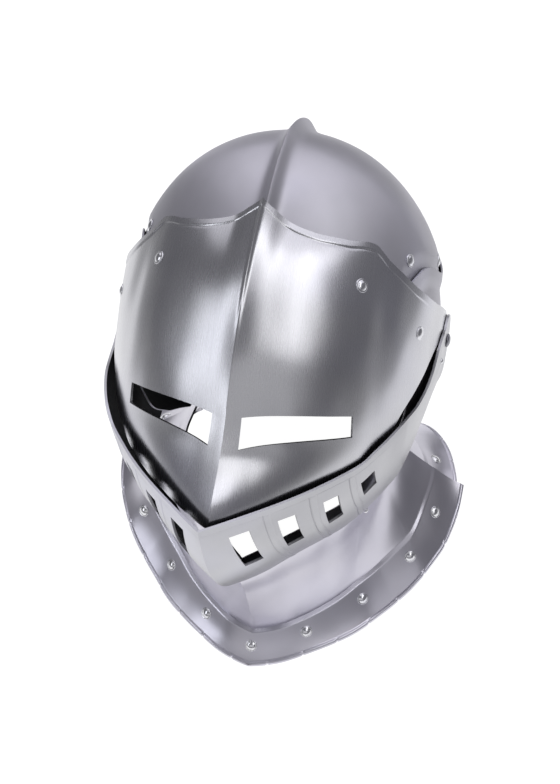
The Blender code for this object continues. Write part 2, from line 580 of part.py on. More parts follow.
def pin(name, side, mat):
    """Pivot pin turned about X in one solid: shank through both arms and a domed head outside."""
    inner = SKULL_PIVOT_X + GAP
    face = BEVOR_EAR_X + GAP
    profile = ((0.0, inner), (PIN_R, inner), (PIN_R, face), (HEAD_R, face), (HEAD_R, face + 0.4 * HEAD_H),
               (0.7 * HEAD_R, face + 0.85 * HEAD_H), (0.0, face + HEAD_H))
    mesh = bpy.data.meshes.new(name)
    mesh.from_pydata([(side * x * MM, -r * MM, 0.0) for r, x in profile],
                     [(i, i + 1) for i in range(len(profile) - 1)], [])
    obj = bpy.data.objects.new(name, mesh)
    HELMET.objects.link(obj)
    lathe = obj.modifiers.new("lathe", "SCREW")
    lathe.axis = "X"
    lathe.angle = 2.0 * math.pi
    lathe.steps = PIN_SIDES
    lathe.render_steps = PIN_SIDES
    lathe.use_merge_vertices = True
    lathe.merge_threshold = 0.01 * MM
    lathe.use_smooth_shade = False
    graph = bpy.context.evaluated_depsgraph_get()
    obj.data = bpy.data.meshes.new_from_object(obj.evaluated_get(graph))
    obj.data.name = name
    obj.modifiers.clear()
    soft = bmesh.new()
    soft.from_mesh(obj.data)
    bmesh.ops.recalc_face_normals(soft, faces=soft.faces)
    soft.to_mesh(obj.data)
    soft.free()
    obj.data.transform(Matrix.Translation((0.0, -PIVOT_F * MM, PIVOT_Z * MM)))
    obj.data.materials.append(mat)
    obj.matrix_world = REST
    return rounded(obj)


def normal_at(func, u, v, eps=0.4):
    """Outward normal of a surface function of two angles."""
    du = func(u + eps, v) - func(u - eps, v)
    dv = func(u, v + eps) - func(u, v - eps)
    n = np.cross(du, dv)
    p = func(u, v)
    return n if np.dot(n, p - np.array([0.0, 0.0, -40.0])) > 0 else -n


def visor_at(phi, theta, side=1.0):
    rho = visor_rho(np.array([phi]), np.array([theta]), 1)
    return fan_point(np.array([phi]), np.array([theta]), rho, side)[0]


def bevor_at(phi, theta, side=1.0):
    rho = bevor_rho(np.array([phi]), np.array([theta]), 1)
    p = fan_point(np.array([phi]), np.array([theta]), rho, side)[0]
    p[0] -= BEVOR_SHIFT * math.sin(math.radians(phi)) ** 2
    return p


def skull_at(az, beta):
    d = direction(np.array([az]), np.array([beta]))
    return (d * skull_radius(d)[:, None])[0]


def sheet_point(sheet, i, j):
    """Point and outward normal at fractional row i, column j of a grid of points."""
    def at(a, b):
        a = np.clip(a, 0, sheet.shape[0] - 1.001)
        b = np.clip(b, 0, sheet.shape[1] - 1.001)
        m, n = int(a), int(b)
        s, t = a - m, b - n
        return (sheet[m, n] * (1 - s) * (1 - t) + sheet[m + 1, n] * s * (1 - t)
                + sheet[m, n + 1] * (1 - s) * t + sheet[m + 1, n + 1] * s * t)
    p = at(i, j)
    n = np.cross(at(i + 0.3, j) - at(i - 0.3, j), at(i, j + 0.3) - at(i, j - 0.3))
    if np.dot(n, p - np.array([0.0, 0.0, -260.0])) < 0:
        n = -n
    return p, n


# ------------------------------------------------------------------ build
def grid_piece(name, sheet, thick, mat):
    """Plate whose outer face is one grid of points."""
    flat = sheet.reshape(-1, 3)
    quads = outward(flat, grid_quads(*sheet.shape[:2]))
    return thicken(add_piece(name, flat, quads, mat), thick)


def holes(cols, spans):
    """Grid cells of row WINDOW_ROW left open on both halves, for each (from, to) span of phi."""
    half = len(cols)
    skip = set()
    for low, high in spans:
        for j in range(half - 1):
            if low <= cols[j] < high:
                skip.add((WINDOW_ROW, 2 * half - 3 - j))
                skip.add((WINDOW_ROW, j))
    return skip


def fan_piece(name, cols, rows_of, rho_of, ear, spans, mat, shift=0.0):
    """Plate swept round the pivots, pierced by the spans of phi, hung on its two ears."""
    points, quads = fan_plate(cols, rows_of, rho_of, *ear, holes(cols, spans), shift=shift)
    quads = outward(points, quads)
    return thicken(add_piece(name, points, quads, mat, PIVOT), SHEET)


grid_piece("skull_bowl", bowl_sheet(9, 18), SHEET, material("skull_steel", SKULL_STEEL, 0.38))
grid_piece("nape_plate", nape_sheet(37, NAPE_ROWS), LAP_SHEET, material("nape_steel", SKULL_STEEL, 0.38))
fan_piece("visor", VISOR_COLS, visor_rows, visor_rho, (VISOR_EAR_R, VISOR_EAR_X), ((SLIT_OUT, SLIT_IN),),
          material("visor_steel", VISOR_STEEL, 0.22))
fan_piece("bevor", BEVOR_COLS, bevor_rows, bevor_rho, (BEVOR_EAR_R, BEVOR_EAR_X), WINDOWS,
          material("bevor_steel", BEVOR_STEEL, 0.3), BEVOR_SHIFT)


def front_angles(start):
    half_span = 90.0 - start
    return 90.0 + half_span * np.linspace(-1.0, 1.0, 31)


def back_angles(start):
    half_span = 90.0 - start
    return 90.0 + half_span * np.linspace(-1.0, 1.0, 27)


def folded_curves(curves):
    """The same curves read on both sides of the middle."""
    out = []
    for knots, radius, height in curves:
        k = list(knots) + [180.0 - a for a in knots[-2::-1]]
        out.append((k, list(radius) + list(radius[-2::-1]), list(height) + list(height[-2::-1])))
    return out


front = gorget_plate("gorget_front", folded_curves(gorget_curves((FRONT_TOP,), FRONT_NECK, FRONT_STEP,
                                                                 FRONT_RIM, 2.0)),
                     front_angles, 1.0, material("gorget_front_steel", GORGET_STEEL, 0.34), PIVOT)
back = gorget_plate("gorget_back", folded_curves(gorget_curves((BACK_TOP, BACK_COLLAR), BACK_NECK, BACK_STEP,
                                                               BACK_RIM, 1.0)),
                    back_angles, -1.0, material("gorget_back_steel", GORGET_STEEL, 0.34))

rivet_mat = material("rivet_steel", RIVET_STEEL, 0.25)
stud_mat = material("stud_steel", RIVET_STEEL, 0.25)
pin_mat = material("pin_steel", PIN_STEEL, 0.35)
for side, tag in ((1.0, "left"), (-1.0, "right")):
    flip = np.array([side, 1.0, 1.0])
    for phi, theta, label in VISOR_RIVETS:
        n = normal_at(visor_at, phi, theta) * flip
        rivet("visor_rivet_" + label + "_" + tag, visor_at(phi, theta, side), n, RIVET_R, RIVET_H, rivet_mat,
              PIVOT)
    for az, beta, label in SKULL_RIVETS:
        n = normal_at(skull_at, az, beta) * flip
        rivet("skull_rivet_" + label + "_" + tag, skull_at(az, beta) * flip, n, RIVET_R, RIVET_H, rivet_mat)
    n = normal_at(bevor_at, *ARM_STUD) * flip
    rivet("bevor_arm_stud_" + tag, bevor_at(*ARM_STUD, side), n, STUD_R, STUD_H, stud_mat, PIVOT)
    for row, col, label in FRONT_RIVETS:
        p, n = sheet_point(front, row, col)
        rivet("gorget_rivet_" + label + "_" + tag, p * flip, n * flip, RIVET_R, RIVET_H, rivet_mat, PIVOT)
    for row, col, label in BACK_RIVETS:
        p, n = sheet_point(back, row, col)
        rivet("back_rivet_" + label + "_" + tag, p * flip, n * flip, RIVET_R, RIVET_H, rivet_mat)
    p, n = sheet_point(front, *THROAT_STUD)
    rivet("throat_stud_" + tag, p * flip, n * flip, STUD_R, STUD_H, stud_mat, PIVOT)
    pin("pivot_pin_" + tag, side, pin_mat)
p, n = sheet_point(front, 5.7, 15.0)
rivet("gorget_rivet_middle", p, n, RIVET_R, RIVET_H, rivet_mat, PIVOT)
p, n = sheet_point(back, 6.8, 13.0)
rivet("back_rivet_middle", p, n, RIVET_R, RIVET_H, rivet_mat)
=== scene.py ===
# %% [markdown]
# # A close helmet with its gorget (armet)
#
# The helmet is six raised steel plates: a combed skull bowl, a nape plate lapped outside it, a keeled
# visor, a pierced bevor, and a gorget in a front and a back half. Rivets hold what never moves and two
# pivot pins carry the visor and the bevor. The model in model.glb is loaded first, because every plate
# made here has to sit where that model has it. Starting from an empty scene with free sizes would be
# quicker to type, but nothing would then swing on its pins.

# %% Load the frame
import json
import math
import bpy
import numpy as np
from mathutils import Matrix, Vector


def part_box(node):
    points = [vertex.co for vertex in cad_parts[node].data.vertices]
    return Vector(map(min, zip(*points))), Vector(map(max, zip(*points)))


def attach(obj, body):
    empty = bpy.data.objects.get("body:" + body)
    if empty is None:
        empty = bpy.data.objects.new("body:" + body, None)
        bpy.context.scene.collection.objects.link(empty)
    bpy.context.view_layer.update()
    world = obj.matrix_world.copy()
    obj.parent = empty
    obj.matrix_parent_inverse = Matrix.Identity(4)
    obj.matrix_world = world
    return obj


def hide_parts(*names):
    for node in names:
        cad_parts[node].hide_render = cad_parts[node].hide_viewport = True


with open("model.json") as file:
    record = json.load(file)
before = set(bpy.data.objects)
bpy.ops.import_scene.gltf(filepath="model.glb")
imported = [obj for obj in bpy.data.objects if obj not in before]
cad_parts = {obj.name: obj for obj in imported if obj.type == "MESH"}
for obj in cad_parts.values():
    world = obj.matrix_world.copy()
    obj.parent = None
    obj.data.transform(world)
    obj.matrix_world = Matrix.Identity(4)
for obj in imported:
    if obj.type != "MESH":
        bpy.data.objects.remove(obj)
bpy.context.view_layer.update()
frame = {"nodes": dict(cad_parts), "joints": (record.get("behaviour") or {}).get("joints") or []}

joints = {j["name"]: j for j in frame["joints"]}

# %% [markdown]
# ## The helmet's own axes
#
# An armourer measures from the middle of the skull: X to the wearer's left, F forward, Z up, all in
# millimetres. The finished helmet stands on its gorget, whose point in front hangs lower than its back
# rim, so it leans back a little. One function turns millimetres in the helmet's axes into metres where
# it stands. Modelling upright and turning at the end keeps every size readable.

# %% Helmet axes to standing place
MM = 0.001
PIVOT_F, PIVOT_Z = -12.0, -7.0         # the side pivots, level with the ears
POINT_F, POINT_Z = 117.0, -227.0       # point of the front gorget plate
HEEL_F, HEEL_Z = -128.0, -184.0        # middle of the back rim
LEAN = math.atan2(HEEL_Z - POINT_Z, POINT_F - HEEL_F)
PIVOT = np.array(joints["visor_swing"]["pos_m"])


def turned(vectors):
    """Directions X, F, Z leaned back about X: y = -F cos + Z sin, z = F sin + Z cos."""
    v = np.asarray(vectors, float)
    c, s = math.cos(LEAN), math.sin(LEAN)
    return np.stack([v[..., 0], -v[..., 1] * c + v[..., 2] * s, v[..., 1] * s + v[..., 2] * c], -1)


def standing(points):
    """Helmet millimetres to metres: lean, then move so that the pivots meet the hinge's own place."""
    from_pivot = np.asarray(points, float) - np.array([0.0, PIVOT_F, PIVOT_Z])
    return turned(from_pivot) * MM + PIVOT


def placed(axes, place):
    """4 x 4 matrix whose columns are three unit axes and a place."""
    matrix = np.eye(4)
    matrix[:3, :3], matrix[:3, 3] = np.stack(axes, 1), place
    return Matrix(matrix.tolist())


def linked(name, data):
    """New object in the scene's own collection."""
    made = bpy.data.objects.new(name, data)
    bpy.context.scene.collection.objects.link(made)
    return made


print("lean %.2f degrees, pivot at" % math.degrees(LEAN), PIVOT.round(4))

# %% [markdown]
# ## Curves through a few measured heights
#
# The plates have no simple formula, so each is known at a few stations and a smooth curve runs between
# them. A monotone cubic never overshoots its stations, which a plain spline would do beside a crease,
# leaving a ripple in polished steel. The same function reads one curve, or a whole stack of curves.

# %% Monotone cubic
def slopes(knots, values):
    """Slope at each knot: the weighted harmonic mean of the two neighbouring slopes, or 0 at a turn."""
    h = np.diff(knots).reshape((-1,) + (1,) * (values.ndim - 1))
    d = np.diff(values, axis=0) / h
    m = np.zeros_like(values)
    w1 = 2.0 * h[1:] + h[:-1]
    w2 = h[1:] + 2.0 * h[:-1]
    same = d[1:] * d[:-1] > 0
    lower = np.where(same, d[:-1], 1.0)
    upper = np.where(same, d[1:], 1.0)
    m[1:-1] = np.where(same, (w1 + w2) / (w1 / lower + w2 / upper), 0.0)
    m[0] = d[0]
    m[-1] = d[-1]
    return m


def smooth(knots, values, at, paired=False):
    """Cubic through values at knots. values (K,) are read anywhere; values (K, ...) are read at the
    1-D positions at, all columns at each; paired reads column n at position n only."""
    knots = np.asarray(knots, float)
    values = np.asarray(values, float)
    at = np.clip(np.asarray(at, float), knots[0], knots[-1])
    m = slopes(knots, values)
    k = np.clip(np.searchsorted(knots, at, side="right") - 1, 0, len(knots) - 2)
    step = knots[k + 1] - knots[k]
    t = (at - knots[k]) / step
    pick = (k, np.arange(values.shape[1])) if paired else (k,)
    after = (k + 1, np.arange(values.shape[1])) if paired else (k + 1,)
    if values.ndim > 1 and not paired:
        shape = (-1,) + (1,) * (values.ndim - 1)
        t, step = t.reshape(shape), step.reshape(shape)
    a = 2 * t ** 3 - 3 * t ** 2 + 1
    b = (t ** 3 - 2 * t ** 2 + t) * step
    c = -2 * t ** 3 + 3 * t ** 2
    e = (t ** 3 - t ** 2) * step
    return a * values[pick] + b * m[pick] + c * values[after] + e * m[after]


def bump(x, width):
    """A rounded ridge of height 1 at x = 0, e to the minus (x / width) squared."""
    return np.exp(-(np.asarray(x, float) / width) ** 2)


def rise(x, start, end):
    """0 before start, 1 after end, and 3t^2 - 2t^3 between."""
    t = np.clip((np.asarray(x, float) - start) / (end - start), 0.0, 1.0)
    return t * t * (3.0 - 2.0 * t)


def finer(knots, counts):
    """The knots with each interval cut into counts equal steps."""
    knots = np.asarray(knots, float)
    counts = np.broadcast_to(counts, len(knots) - 1)
    parts = [np.linspace(a, b, n, endpoint=False) for a, b, n in zip(knots[:-1], knots[1:], counts)]
    return np.concatenate(parts + [knots[-1:]])


print("a curve through 0, 1, 1:", smooth((0, 1, 2), (0.0, 1.0, 1.0), (0.5, 1.5)).round(3))

# %% [markdown]
# ## Steel
#
# The outside is bright steel, ground and then polished by hand with fine abrasive, so its grain follows
# the strokes: a shiny metal whose roughness and height vary in long thin streaks, with faint larger
# clouds where the wheel dwelt and some dulling. A flat grey would look like plastic. Each plate carries
# a UV map in metres, u across the strokes and v along them, so the grain follows the plate. The inner
# faces take a second material, dull and nearly black: painted shade for the inside of the shell.

# %% Steel finishes
STAIN_TINT = (0.60, 0.60, 0.74, 1.0)    # the faint violet of old polish


def add_node(tree, kind, settings=(), **inputs):
    """New shader node. settings are its options; inputs are values, or outputs of other nodes."""
    made = tree.nodes.new("ShaderNode" + kind)
    for key, value in dict(settings).items():
        setattr(made, key, value)
    feed(tree, made, **inputs)
    return made


def feed(tree, made, **inputs):
    """Each named socket takes its value, or a link where the value is another node's output."""
    for key, value in inputs.items():
        socket = made.inputs[key.replace("_", " ")]
        if isinstance(value, bpy.types.NodeSocket):
            tree.links.new(value, socket)
        else:
            socket.default_value = value


def new_material(name, **inputs):
    """Material with its tree and its shader, some sockets of which are set at once."""
    mat = bpy.data.materials.new(name)
    mat.use_nodes = True
    shader = mat.node_tree.nodes["Principled BSDF"]
    feed(mat.node_tree, shader, **inputs)
    return mat, mat.node_tree, shader


def bright_steel(name, colour, shadow, rough, grain, streak_along, anis=0.35):
    """Metal whose colour drifts between colour and shadow in clouds, with streaks along v."""
    mat, tree, shader = new_material(name, Metallic=1.0, Anisotropic=anis)
    strokes = add_node(tree, "UVMap", {"uv_map": "grain"}).outputs["UV"]
    place = add_node(tree, "Mapping", Scale=(grain, streak_along, 1.0), Vector=strokes).outputs["Vector"]
    streak = add_node(tree, "TexNoise", Scale=1.0, Detail=5.0, Roughness=0.65, Vector=place).outputs["Fac"]
    body = add_node(tree, "TexCoord").outputs["Object"]
    cloud = add_node(tree, "TexNoise", Scale=17.0, Detail=3.0, Vector=body).outputs["Fac"]
    spread = add_node(tree, "MapRange", From_Min=0.35, From_Max=0.65, Value=cloud).outputs["Result"]
    base = add_node(tree, "Mix", {"data_type": "RGBA"}, A=shadow, B=colour, Factor=spread).outputs["Result"]
    stain = add_node(tree, "TexNoise", Scale=9.0, Vector=body).outputs["Fac"]
    amount = add_node(tree, "MapRange", From_Min=0.52, From_Max=0.78, To_Max=0.45,
                      Value=stain).outputs["Result"]
    cool = add_node(tree, "Mix", {"data_type": "RGBA"}, B=STAIN_TINT, Factor=amount, A=base).outputs["Result"]
    dull = add_node(tree, "MapRange", From_Min=0.3, From_Max=0.7, To_Min=rough - 0.015,
                    To_Max=rough + 0.025, Value=streak).outputs["Result"]
    relief = add_node(tree, "Bump", Strength=0.02, Distance=0.00012, Height=streak).outputs["Normal"]
    run = add_node(tree, "Tangent", {"direction_type": "UV_MAP", "uv_map": "grain"}).outputs["Tangent"]
    feed(tree, shader, Base_Color=cool, Roughness=dull, Normal=relief, Tangent=run)
    return mat


def painted_shade_inside():
    """Painted shade for the inner faces: nearly black, rough, faintly mottled."""
    mat, tree, shader = new_material("painted_shade_inside", Metallic=0.0, Specular_IOR_Level=0.12)
    body = add_node(tree, "TexCoord").outputs["Object"]
    mottle = add_node(tree, "TexNoise", Scale=60.0, Vector=body).outputs["Fac"]
    # nearly black tones, mottled at random: the painted shade of the inner faces
    tone = add_node(tree, "Mix", {"data_type": "RGBA"}, A=(0.006, 0.006, 0.008, 1.0),
                    B=(0.018, 0.018, 0.022, 1.0), Factor=mottle).outputs["Result"]
    rough = add_node(tree, "MapRange", To_Min=0.6, To_Max=0.85, Value=mottle).outputs["Result"]
    feed(tree, shader, Base_Color=tone, Roughness=rough)
    return mat


SKULL_STEEL, VISOR_STEEL, BEVOR_STEEL, GORGET_STEEL, RIVET_STEEL, PIN_STEEL = (bright_steel(*row) for row in (
    ("skull_ground_steel", (0.54, 0.53, 0.58, 1), (0.47, 0.465, 0.505, 1), 0.50, 2600.0, 30.0),
    ("visor_polished_steel", (0.56, 0.56, 0.585, 1), (0.49, 0.49, 0.52, 1), 0.27, 2200.0, 25.0),
    ("bevor_satin_steel", (0.47, 0.47, 0.49, 1), (0.41, 0.41, 0.435, 1), 0.36, 2400.0, 30.0),
    ("gorget_satin_steel", (0.61, 0.595, 0.655, 1), (0.53, 0.52, 0.585, 1), 0.30, 2000.0, 22.0),
    ("rivet_polished_steel", (0.74, 0.74, 0.76, 1), (0.66, 0.66, 0.69, 1), 0.20, 3000.0, 3000.0, 0.0),
    ("pin_dark_steel", (0.30, 0.30, 0.33, 1), (0.20, 0.20, 0.22, 1), 0.34, 3000.0, 3000.0, 0.0)))
# the inner faces' nearly black material is painted shade
PAINTED_SHADE_INSIDE = painted_shade_inside()
print("finishes:", sorted(m.name for m in bpy.data.materials if m.name.endswith(("steel", "inside"))))

# %% [markdown]
# ## From a grid of points to a plate
#
# Each plate is an open sheet worked out as a grid of points, then given the thickness of the steel by
# Solidify and softened edges by Bevel, as a smith files the edge of a finished plate. Sculpting would
# give soft, uneven edges, and a subdivided cage would round off the creases at the keel and the slits.
# Grids that share an edge are welded, so an ear and the plate it belongs to are one sheet. The sheet is
# moved a few hundredths of a millimetre in and out, because hammered steel is never quite even, and
# its reflections show that.

# %% Sheets, thickness and edges
RIPPLE = 0.07          # millimetres that planishing leaves in and out
FILED_TURN = 38.0      # an edge that turns by more degrees than this is filed round
PLATE_EDGE = 0.3       # millimetres filed off the edges of most plates
CORE, NECK_CORE = (0.0, 0.0, -40.0), (0.0, 0.0, -260.0)     # points inside the head and the neck
ripple_rng = np.random.default_rng(11)
RIPPLE_WAVES = ripple_rng.normal(size=(7, 3)) * 2.0 * math.pi / 55.0
RIPPLE_PHASE = ripple_rng.uniform(0.0, 2.0 * math.pi, 7)


def grid_faces(rows, cols, keep=None):
    """Quads of a rows x cols grid as an (n, 4) array; keep (rows-1, cols-1) drops the cells of holes."""
    at = np.arange(rows * cols).reshape(rows, cols)
    quads = np.stack([at[:-1, :-1], at[:-1, 1:], at[1:, 1:], at[1:, :-1]], -1)
    return quads.reshape(-1, 4) if keep is None else quads[keep]


def run_lengths(points):
    """Distances along the rows and along the columns of a grid, in metres, for the grain's UV map."""
    across = np.linalg.norm(np.diff(points, axis=1), axis=2).cumsum(1)
    along = np.linalg.norm(np.diff(points, axis=0), axis=2).cumsum(0)
    u = np.pad(across, ((0, 0), (1, 0))).mean(0)[None, :] + np.zeros(points.shape[:2])
    v = np.pad(along, ((1, 0), (0, 0)))
    return np.stack([u - u.mean(), v], -1) * MM


def welded(points, quads):
    """Points closer than a micrometre become one, and a quad that loses a corner becomes a triangle."""
    key = np.round(points * 1000.0).astype(np.int64)
    first, back = np.unique(key, axis=0, return_index=True, return_inverse=True)[1:]
    quads = back.ravel()[quads]
    same = quads == np.roll(quads, -1, axis=1)
    whole = ~same.any(1)
    faces = quads[whole].tolist()
    for quad, gone in zip(quads[~whole], same[~whole]):
        if gone.sum() == 1:
            faces.append(quad[~gone].tolist())
    return points[first], faces, first


def grained(name, place, faces, grain):
    """Smooth-shaded object from points in metres and faces, with a grain UV given at each point."""
    mesh = bpy.data.meshes.new(name)
    mesh.from_pydata(place.tolist(), [], faces)
    corner = np.empty(len(mesh.loops), np.int32)
    mesh.loops.foreach_get("vertex_index", corner)
    layer = mesh.uv_layers.new(name="grain")
    layer.data.foreach_set("uv", grain[corner].astype(np.float32).ravel())
    mesh.polygons.foreach_set("use_smooth", np.ones(len(mesh.polygons), bool))
    mesh.update()
    return linked(name, mesh)


def sheet(name, grids, keeps, inside):
    """Open mesh from grids of helmet millimetres, facing away from the point inside."""
    quads, start = [], 0
    for grid, keep in zip(grids, keeps):
        own, flat = grid_faces(*grid.shape[:2], keep), grid.reshape(-1, 3)
        cross = np.cross(flat[own[:, 2]] - flat[own[:, 0]], flat[own[:, 3]] - flat[own[:, 1]])
        inward = (cross * (flat[own].mean(1) - np.asarray(inside))).sum() < 0
        quads.append((own[:, ::-1] if inward else own) + start)
        start += len(flat)
    points = np.concatenate([g.reshape(-1, 3) for g in grids])
    grain = np.concatenate([run_lengths(g).reshape(-1, 2) for g in grids])
    points, faces, first = welded(points, np.concatenate(quads))
    waves = np.sin(points @ RIPPLE_WAVES.T + RIPPLE_PHASE).sum(1) / math.sqrt(len(RIPPLE_PHASE))
    away = points - np.asarray(inside)
    away /= np.linalg.norm(away, axis=1, keepdims=True)
    place = standing(points + away * (RIPPLE * waves)[:, None])
    return grained(name, place, [f[::-1] for f in faces], grain[first])


def finish_plate(piece, thick, edge, steel):
    """Thickness inward from the sheet, then edges rounded by edge millimetres where they turn sharply."""
    piece.data.materials.append(steel)
    # the second slot, for the inner faces, is the nearly black painted shade
    piece.data.materials.append(PAINTED_SHADE_INSIDE)
    wall = piece.modifiers.new("thickness", "SOLIDIFY")
    wall.thickness = thick * MM
    wall.offset = -1.0
    wall.use_even_offset = True
    wall.use_quality_normals = True
    wall.material_offset = 1
    wall.material_offset_rim = 0
    filed = piece.modifiers.new("filed edge", "BEVEL")
    filed.width = edge * MM
    filed.segments = 2
    filed.limit_method = "ANGLE"
    filed.angle_limit = math.radians(FILED_TURN)
    filed.harden_normals = True
    filed.use_clamp_overlap = True
    return piece


def hand_over(piece, body, node):
    """The piece rides on its body and stands for its CAD node, which is hidden."""
    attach(piece, body)
    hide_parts(node)
    print(piece.name, "on", body, len(piece.data.polygons), "faces before thickness")


print("ripple of +-%.2f mm, filed edges %.1f mm" % (RIPPLE, PLATE_EDGE))

# %% [markdown]
# ## The skull
#
# The skull was hammered from one sheet over a stake: an egg, wider behind, with a narrow comb left
# standing along the middle. It is written as a distance from the centre for every direction (a
# superellipsoid, which is an ellipsoid with its shoulders filled out), and the comb is a bump added to
# that distance. A joint shaped in cusps parts it from the nape plate.

# %% Skull surface
SKULL_A, SKULL_B, SKULL_C = 107.4, 122.7, 134.5
SKULL_P, SKULL_Q = 2.046, 1.743
SHEET, LAP_SHEET = 1.6, 1.4
SEAM_AZ = (-60.0, -38.0, -18.0, -11.0, -6.0, 0.0, 6.4, 13.0, 25.0, 45.0, 62.0, 78.0, 90.0)
SEAM_BETA = (24.0, 31.0, 36.2, 35.9, 34.6, 30.9, 25.4, 21.4, 19.0, 20.5, 17.5, 18.5, 23.0)


def direction(az, beta):
    """Unit direction: az from the wearer's left towards the back, beta up."""
    a, b = np.radians(az), np.radians(beta)
    return np.stack([np.cos(b) * np.cos(a), -np.cos(b) * np.sin(a), np.sin(b)], -1)


def skull_radius(d):
    """1 / ((|x/A|^P + (|y/B|^Q + |z/C|^Q)^(P/Q))^(1/P)) along the unit direction d."""
    around = (np.abs(d[..., 1]) / SKULL_B) ** SKULL_Q + (np.abs(d[..., 2]) / SKULL_C) ** SKULL_Q
    return ((np.abs(d[..., 0]) / SKULL_A) ** SKULL_P + around ** (SKULL_P / SKULL_Q)) ** (-1.0 / SKULL_P)


def folded(az):
    """The same angle measured on the left half: 180 - az beyond the back."""
    return np.where(np.asarray(az) > 90.0, 180.0 - np.asarray(az), az)


def seam_beta(az):
    """Height angle of the cusped joint between the skull and the nape plate."""
    return smooth(SEAM_AZ, SEAM_BETA, folded(az))


def comb_height(x, theta):
    """H(theta) e^-(|x|/4.2)^1.5: a narrow ridge that fades out over the back of the head."""
    fade = smooth((20.0, 50.0, 118.0, 150.0, 190.0), (5.0, 8.6, 8.6, 0.2, 0.0), theta)
    return fade * np.exp(-(np.abs(x) / 4.2) ** 1.5)


print("skull %.0f wide, %.0f long, %.0f high" % (2 * SKULL_A, 2 * SKULL_B, 2 * SKULL_C))

# %% [markdown]
# The nape plate laps outside the bowl behind, and its cheeks are set in a little so that they pass
# inside the visor. The bowl's margin follows inside it. Both offsets depend only on how far a point
# lies below the joint, so the two plates can never cross.

# %% How the two plates lap
NAPE_LIFT, CHEEK_TUCK, LAP_ROOM = 1.3, 3.6, 2.7


def lap_offset(az, drop):
    """Nape plate's outer face above the skull surface, drop millimetres below its upper edge."""
    lift = NAPE_LIFT * smooth((0.0, 6.0, 16.0, 400.0), (1.0, 0.85, 0.0, 0.0), drop)
    side = smooth((-40.0, -10.0, 14.0, 50.0, 90.0), (0.6, 1.0, 1.0, 0.0, 0.0), folded(az))
    return lift - side * CHEEK_TUCK * smooth((0.0, 5.0, 15.0, 400.0), (0.2, 0.5, 1.0, 1.0), drop)


def bowl_inset(d, radius):
    """How far the bowl's margin is drawn in to run inside the nape plate."""
    az = np.degrees(np.arctan2(-d[..., 1], d[..., 0]))
    beta = np.degrees(np.arcsin(np.clip(d[..., 2], -1.0, 1.0)))
    drop = np.radians(seam_beta(az) - beta) * radius
    inside = np.minimum(lap_offset(az, np.maximum(drop, 0.0)) - LAP_ROOM, 0.0)
    return inside * smooth((-400.0, -14.0, -2.0, 400.0), (0.0, 0.0, 1.0, 1.0), drop)


print("nape edge stands %.1f mm off the skull" % lap_offset(90.0, 0.0))

# %% [markdown]
# The bowl's grid is a Coons patch: four edges are known (brow, comb line, side joint and back joint)
# and the inside is blended from them. A grid of plain latitude and longitude would meet the slanting
# joint in a staircase. One half is worked out and mirrored.

# %% Skull bowl
BROW_THETA = 32.0
TUCK = 3.6                 # degrees the bowl runs down inside the nape plate
SIDE_AZ = (-38.0, 60.0)
COMB_EDGE = 4.7            # degrees either side of the middle given to the comb


def fan_angles(d):
    """phi from the X axis and theta round it for unit directions d, in degrees."""
    return np.degrees(np.arccos(np.clip(d[..., 0], -1, 1))), np.degrees(np.arctan2(d[..., 2], d[..., 1]))


def bowl_grid(rows, comb_cols, side_cols):
    """theta = blend of the four edges, phi = 90 minus the way out from the comb; rows front to back."""
    v = np.linspace(0.0, 1.0, rows)[:, None]
    az_side = SIDE_AZ[0] + (SIDE_AZ[1] - SIDE_AZ[0]) * v[:, 0]
    phi_side, theta_side = fan_angles(direction(az_side, seam_beta(az_side) - TUCK))
    half, theta_side = (90.0 - phi_side)[:, None], theta_side[:, None]
    comb = np.linspace(0.0, COMB_EDGE, comb_cols)[None, :] + np.zeros_like(half)
    rest = COMB_EDGE + (half - COMB_EDGE) * np.linspace(0.0, 1.0, side_cols)[None, 1:]
    off = np.concatenate([comb, rest], axis=1)
    u = off / half
    az_back = 90.0 + (SIDE_AZ[1] - 90.0) * u
    theta_back = fan_angles(direction(az_back, seam_beta(az_back) - TUCK))[1]
    front = BROW_THETA + (theta_side[0] - BROW_THETA) * u ** 3
    crown = BROW_THETA + (theta_back[:, :1] - BROW_THETA) * v
    corner = crown * (1 - u) + (theta_side[0] * (1 - v) + theta_back[:, -1:] * v) * u
    theta = crown * (1 - u) + theta_side * u + front * (1 - v) + theta_back * v - corner
    phi, the = np.radians(90.0 - off), np.radians(theta)
    d = np.stack([np.cos(phi), np.sin(phi) * np.cos(the), np.sin(phi) * np.sin(the)], -1)
    r = skull_radius(d)
    left = d * (r + comb_height(r * d[..., 0], theta) + bowl_inset(d, r))[..., None]
    return np.concatenate([left[:, :0:-1] * np.array([-1.0, 1.0, 1.0]), left], axis=1)


bowl = sheet("skull_bowl_shell", [bowl_grid(150, 14, 62)], [None], CORE)
finish_plate(bowl, SHEET, 0.4, SKULL_STEEL)
hand_over(bowl, "skull", "skull_bowl")

# %% [markdown]
# ## The nape plate
#
# It covers the back of the neck and both cheeks, from the cusped joint down into the gorget. Its rows
# start exactly on the joint, so its bright upper edge shows the cusps.

# %% Nape plate
NAPE_BOTTOM = -52.5
CHEEK_T = (0.0, 0.25, 0.45, 0.7, 0.88, 1.0)
CHEEK_AZ = (37.0, 32.0, 30.0, 30.0, 18.0, -2.0)


def nape_grid(heights, cols):
    """Direction az, beta with beta from the joint (t = 0) to NAPE_BOTTOM (t = 1), skull radius + lap."""
    t = np.asarray(heights)[:, None]
    s = np.linspace(-1.0, 1.0, cols)[None, :]
    az = 90.0 + s * (90.0 + smooth(CHEEK_T, CHEEK_AZ, t))
    top = seam_beta(az)
    beta = top + (NAPE_BOTTOM - top) * t
    d = direction(az, beta)
    r = skull_radius(d)
    return d * (r + lap_offset(az, np.radians(top - beta) * r))[..., None]


nape_heights = finer((0.0, 0.02, 0.12, 1.0), (4, 14, 56))
nape = sheet("nape_shell", [nape_grid(nape_heights, 241)], [None], CORE)
finish_plate(nape, LAP_SHEET, 0.35, SKULL_STEEL)
hand_over(nape, "skull", "nape_plate")

